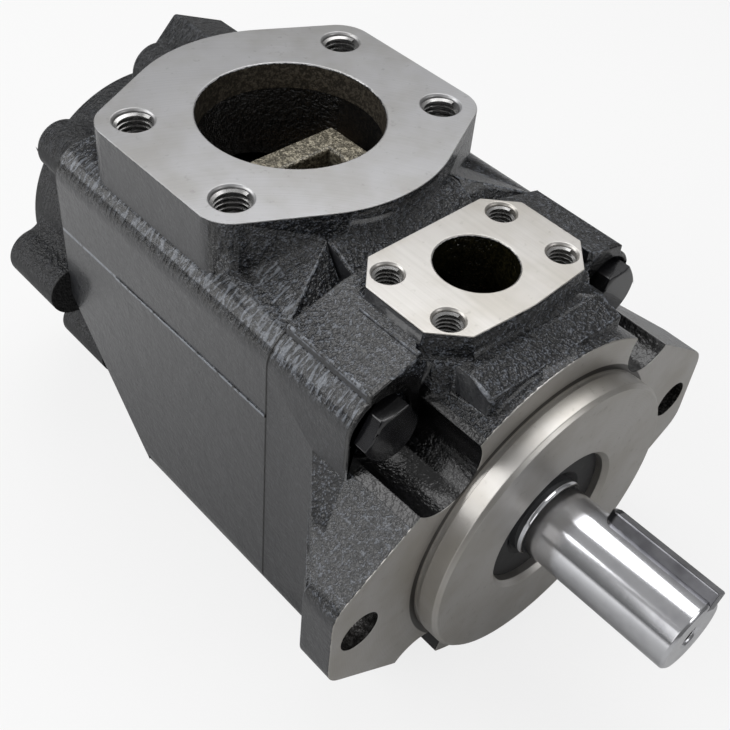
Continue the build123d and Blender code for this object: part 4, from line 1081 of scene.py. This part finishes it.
@dataclass
class Castings:
    """The front cap, the centre housing and the rear cap."""

    cast_width: float = 1.4
    cut_width: float = 0.25

    def build(self) -> None:
        """Builds all three castings, each with the threads of its port's bolt holes."""
        self._front_cap().build()
        self._threads("front_port_threads", FRONT_PORT, 5.56, 1.81, 1.9, 11)
        self._housing().build()
        self._threads("suction_port_threads", SUCTION_PORT, 7.94, 2.31, 2.2, 10)
        self._rear_cap().build()
        self._threads("rear_port_threads", REAR_PORT, 4.76, 1.59, 1.8, 10)

    def _edges(
        self,
        node: str,
        finish: CastingFinish,
        planes: tuple[MachinedPlane, ...],
        bores: tuple[MachinedBore, ...],
    ) -> SoftEdges:
        """Soft edges of one casting, with the cut faces and bores that its finish doesn't name."""
        shown = tuple(wall.place for wall in finish.walls if isinstance(wall.place, MachinedBore))
        edges = SoftEdges(
            node, f"{node}_casting", "casing", "painted_iron", finish, self.cast_width, self.cut_width
        )
        edges.planes = finish.planes + planes
        edges.bores = shown + bores
        return edges

    @staticmethod
    def _threads(name: str, port: Port, *size: float) -> None:
        """Builds the threads of a port, of one outer radius, pitch, start and number of turns."""
        InnerThread(name, *size, port.mouths(), "casing", "painted_iron", FINISHES.hard_steel).build()

    def _front_cap(self) -> SoftEdges:
        """Front cap with its pad's flat corners and strip."""
        planes = (MachinedPlane(Axis.Y, FRONT_JOINT, 1), MachinedPlane(Axis.Y, -11.0, -1))
        bores = (
            MachinedBore(Axis.Y, SHAFT_AXIS, 66.0, -12.0, 0.5),
            MachinedBore(Axis.Y, SHAFT_AXIS, 60.0, -12.0, 80.0),
            MachinedBore(Axis.Y, (-MOUNT_X, 0.0), 16.5, 15.0, 60.0),
            MachinedBore(Axis.Y, (MOUNT_X, 0.0), 16.5, 15.0, 60.0),
        )
        edges = self._edges("front_cap", FINISHES.front_cap, planes, bores)
        strip = (
            (-45.4, 30.6, 80.0), (-43.6, 30.6, 80.0), (-45.4, 60.0, 80.0), (-43.6, 60.0, 80.0),
            (-45.4, 30.6, 84.6), (-43.6, 30.6, 85.1), (-45.4, 60.0, 84.6), (-43.6, 60.0, 85.1),
        )
        corners = CornerCut(FRONT_PORT.centre[:2], chord=(34.6, 20.4), levels=(80.0, 85.2), top=92.0)
        edges.shapes = (corners, Swell(strip))
        edges.spared = (Block((26.0, 12.0, 68.0), (47.0, 34.0, 84.0)),)
        return edges

    def _housing(self) -> SoftEdges:
        """Centre housing with its sloping facet."""
        planes = (MachinedPlane(Axis.Y, FRONT_JOINT, -1), MachinedPlane(Axis.Y, REAR_JOINT, 1))
        bores = (MachinedBore(Axis.Y, SHAFT_AXIS, 62.0, 70.0, 220.0),)
        edges = self._edges("centre_housing", FINISHES.housing, planes, bores)
        facet = (
            (-33.6, 90.6, 88.3), (-31.0, 97.0, 88.3), (-35.0, 110.0, 86.5), (-62.5, 75.2, 77.2),
            (-56.0, 108.0, 75.2), (-65.0, 84.0, 73.8), (-62.0, 74.6, 72.0), (-35.0, 78.0, 72.0),
            (-33.6, 90.6, 72.0), (-35.0, 110.0, 72.0),
        )
        edges.shapes = (Swell(facet),)
        return edges

    def _rear_cap(self) -> SoftEdges:
        """Rear cap, round lobes and port included, with nothing added."""
        planes = (MachinedPlane(Axis.Y, REAR_JOINT, -1),)
        bores = (MachinedBore(Axis.Y, SHAFT_AXIS, 62.0, 200.0, 262.0),)
        return self._edges("rear_cap", FINISHES.rear_cap, planes, bores)


@dataclass
class Fasteners:
    """Front cap bolts and rear cap screws."""

    width: float = 0.35

    def build(self) -> None:
        """Builds both groups of fasteners."""
        steel = FINISHES.black_steel
        for node in ("front_cap_bolts", "rear_cap_screws"):
            edges = SoftEdges(node, f"{node}_oiled", "casing", steel.name, steel, self.width, self.width)
            edges.segments = 2
            edges.build()


@dataclass
class ShaftLine:
    """Drive shaft, its key and the thread of its centre hole."""

    width: float = 0.25
    end: float = -77.0

    def build(self) -> None:
        """Builds the shaft's dressed pieces."""
        dressed = (
            ("drive_shaft", "drive_shaft_ground", FINISHES.ground_steel),
            ("shaft_key", "shaft_key_drawn", FINISHES.key_steel),
        )
        for node, name, steel in dressed:
            edges = SoftEdges(node, name, "shaft_line", steel.name, steel, self.width, self.width)
            edges.segments = 2
            edges.build()
        place = (mm(0.0, self.end, 0.0), Matrix.Rotation(math.radians(90.0), 3, "X"))
        InnerThread(
            "shaft_end_thread", 4.76, 1.59, 1.8, 9, [place], "shaft_line", "ground_steel", FINISHES.hard_steel
        ).build()


@dataclass
class InnerPieces:
    """Finishes of the CAD pieces that stay as they are."""

    finishes: dict[str, Any] = field(
        default_factory=lambda: {
            "seal": FINISHES.rubber,
            "seal_spring": FINISHES.spring_steel,
            "retaining_ring": FINISHES.spring_steel,
            "bearing_cage": FINISHES.brass,
            "bearing": FINISHES.bearing_steel,
            "bush": FINISHES.bronze,
            "cam_ring": FINISHES.hard_steel,
            "rotor": FINISHES.hard_steel,
            "vane": FINISHES.vane_steel,
            "plate": FINISHES.bronze,
            "pins": FINISHES.hard_steel,
            "screws": FINISHES.black_steel,
        }
    )

    def build(self) -> None:
        """Dresses each CAD piece by the longest part of its name that is known."""
        order = sorted(self.finishes, key=len, reverse=True)
        for name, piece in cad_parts.items():
            for part in order:
                if part in name:
                    dress(piece, self.finishes[part])
                    break


# Studio


@dataclass(frozen=True)
class Lamp:
    """One square area lamp, with its places and side in metres and its power in watts."""

    name: str
    spot: Point
    target: Point
    size: float
    power: float

    def build(self) -> None:
        """Adds the lamp to the scene."""
        data = bpy.data.lights.new(self.name, "AREA")
        data.size = self.size
        data.energy = self.power
        lamp = bpy.data.objects.new(self.name, data)
        bpy.context.scene.collection.objects.link(lamp)
        lamp.location = self.spot
        lamp.rotation_euler = (Vector(self.target) - Vector(self.spot)).to_track_quat("-Z", "Y").to_euler()


@dataclass
class Studio:
    """Pale floor, soft lights and the camera at the photograph's place.

    The lamps are a soft key from behind on the left, a soft box above, a side fill and a weak one in front.
    """

    pixels: float = 730.0
    focal_pixels: float = 1121.14
    sensor: float = 36.0
    azimuth: float = -46.446
    elevation: float = 44.624
    roll: float = 6.106
    aim: Point = (-65.074, 54.072, 438.67)
    floor_z: float = -76.0
    floor_gap: float = 0.2
    floor_size: float = 60.0
    floor_seen: float = 0.8
    floor_mirrored: float = 0.28
    room_mirrored: float = 0.12
    room_light: tuple[float, float] = (0.04, 0.29)
    lamps: tuple[Lamp, ...] = (
        Lamp("key", (-0.80, 0.78, 0.70), (0.0, 0.08, 0.02), 0.95, 8.5),
        Lamp("above", (0.30, 0.34, 0.92), (0.0, 0.02, 0.05), 0.75, 4.8),
        Lamp("fill", (-1.05, -0.20, 0.50), (0.0, 0.08, 0.0), 0.7, 1.6),
        Lamp("front", (0.35, -1.0, 0.55), (0.0, 0.0, 0.0), 0.5, 2.2),
    )

    def build(self) -> None:
        """Builds the whole studio."""
        self._floor()
        self._world()
        for lamp in self.lamps:
            lamp.build()
        self._camera()

    def _axes(self) -> Matrix:
        """Rows: the camera's right, up and back directions."""
        az, el, roll = (math.radians(a) for a in (self.azimuth, self.elevation, self.roll))
        back = Vector((math.sin(az) * math.cos(el), -math.cos(az) * math.cos(el), math.sin(el)))
        right = Vector((math.cos(az), math.sin(az), 0.0))
        up = back.cross(right)
        turned_right = math.cos(roll) * right + math.sin(roll) * up
        turned_up = math.cos(roll) * up - math.sin(roll) * right
        return Matrix((turned_right, turned_up, back))

    def _camera(self) -> None:
        """Camera at the photograph's viewing angle."""
        axes = self._axes().transposed()
        data = bpy.data.cameras.new("camera")
        data.sensor_width = self.sensor
        data.lens = self.focal_pixels / self.pixels * self.sensor
        data.clip_start = 0.01
        camera = bpy.data.objects.new("camera", data)
        bpy.context.scene.collection.objects.link(camera)
        camera.matrix_world = Matrix.Translation(axes @ mm(*self.aim)) @ axes.to_4x4()
        bpy.context.scene.camera = camera

    def _floor(self) -> None:
        """Pale floor under the pump: white to the camera, and in reflections only to the left and behind."""
        level = (self.floor_z - self.floor_gap) * MM
        bpy.ops.mesh.primitive_plane_add(size=self.floor_size, location=(0.0, 0.1, level))
        floor = bpy.context.object
        floor.name = "floor"
        material, graph = new_graph("floor")
        path = graph.node("ShaderNodeLightPath")
        spots = graph.parts(graph.place())
        pale = (spots[1] - spots[0] * 0.8).rise(-0.05, 0.35)
        seen = Signal(graph, path.outputs["Is Camera Ray"])
        mirrored = Signal(graph, path.outputs["Is Glossy Ray"])
        matt = graph.node("ShaderNodeBsdfDiffuse", None, {"Color": (0.82, 0.82, 0.82, 1.0)})
        glow = graph.node("ShaderNodeEmission", None, {"Color": WHITE, "Strength": seen.at_least(pale)})
        share = (seen * self.floor_seen).at_least(mirrored * self.floor_mirrored)
        blend = graph.node("ShaderNodeMixShader", None, {0: share, 1: matt.outputs[0], 2: glow.outputs[0]})
        graph.node("ShaderNodeOutputMaterial", None, {"Surface": blend.outputs[0]})
        floor.data.materials.append(material)

    def _world(self) -> None:
        """White surroundings for the camera, and a room for the light: pale above, dim at the horizon."""
        world = bpy.data.worlds.new("studio")
        world.use_nodes = True
        world.node_tree.nodes.clear()
        bpy.context.scene.world = world
        graph = Graph(world.node_tree)
        path = graph.node("ShaderNodeLightPath")
        seen = Signal(graph, path.outputs["Is Camera Ray"]).at_least(path.outputs["Is Transmission Ray"])
        seen = seen.at_least(Signal(graph, path.outputs["Is Glossy Ray"]) * self.room_mirrored)
        height = graph.parts(graph.node("ShaderNodeTexCoord").outputs["Generated"])[2]
        room = height.rise(0.05, 0.85, *self.room_light)
        values = {"Color": WHITE, "Strength": room + (1.0 - room) * seen}
        background = graph.node("ShaderNodeBackground", None, values)
        graph.node("ShaderNodeOutputWorld", None, {"Surface": background.outputs[0]})


def main() -> None:
    """Builds the pump's dressed pieces and the studio, in order."""
    logging.basicConfig(level=logging.INFO, format="%(name)s: %(message)s")
    bpy.context.scene.view_settings.view_transform = "Standard"
    bpy.ops.object.select_all(action="DESELECT")
    Castings().build()
    Fasteners().build()
    ShaftLine().build()
    InnerPieces().build()
    Studio().build()
    bpy.context.view_layer.update()


if __name__ == "__main__":
    main()
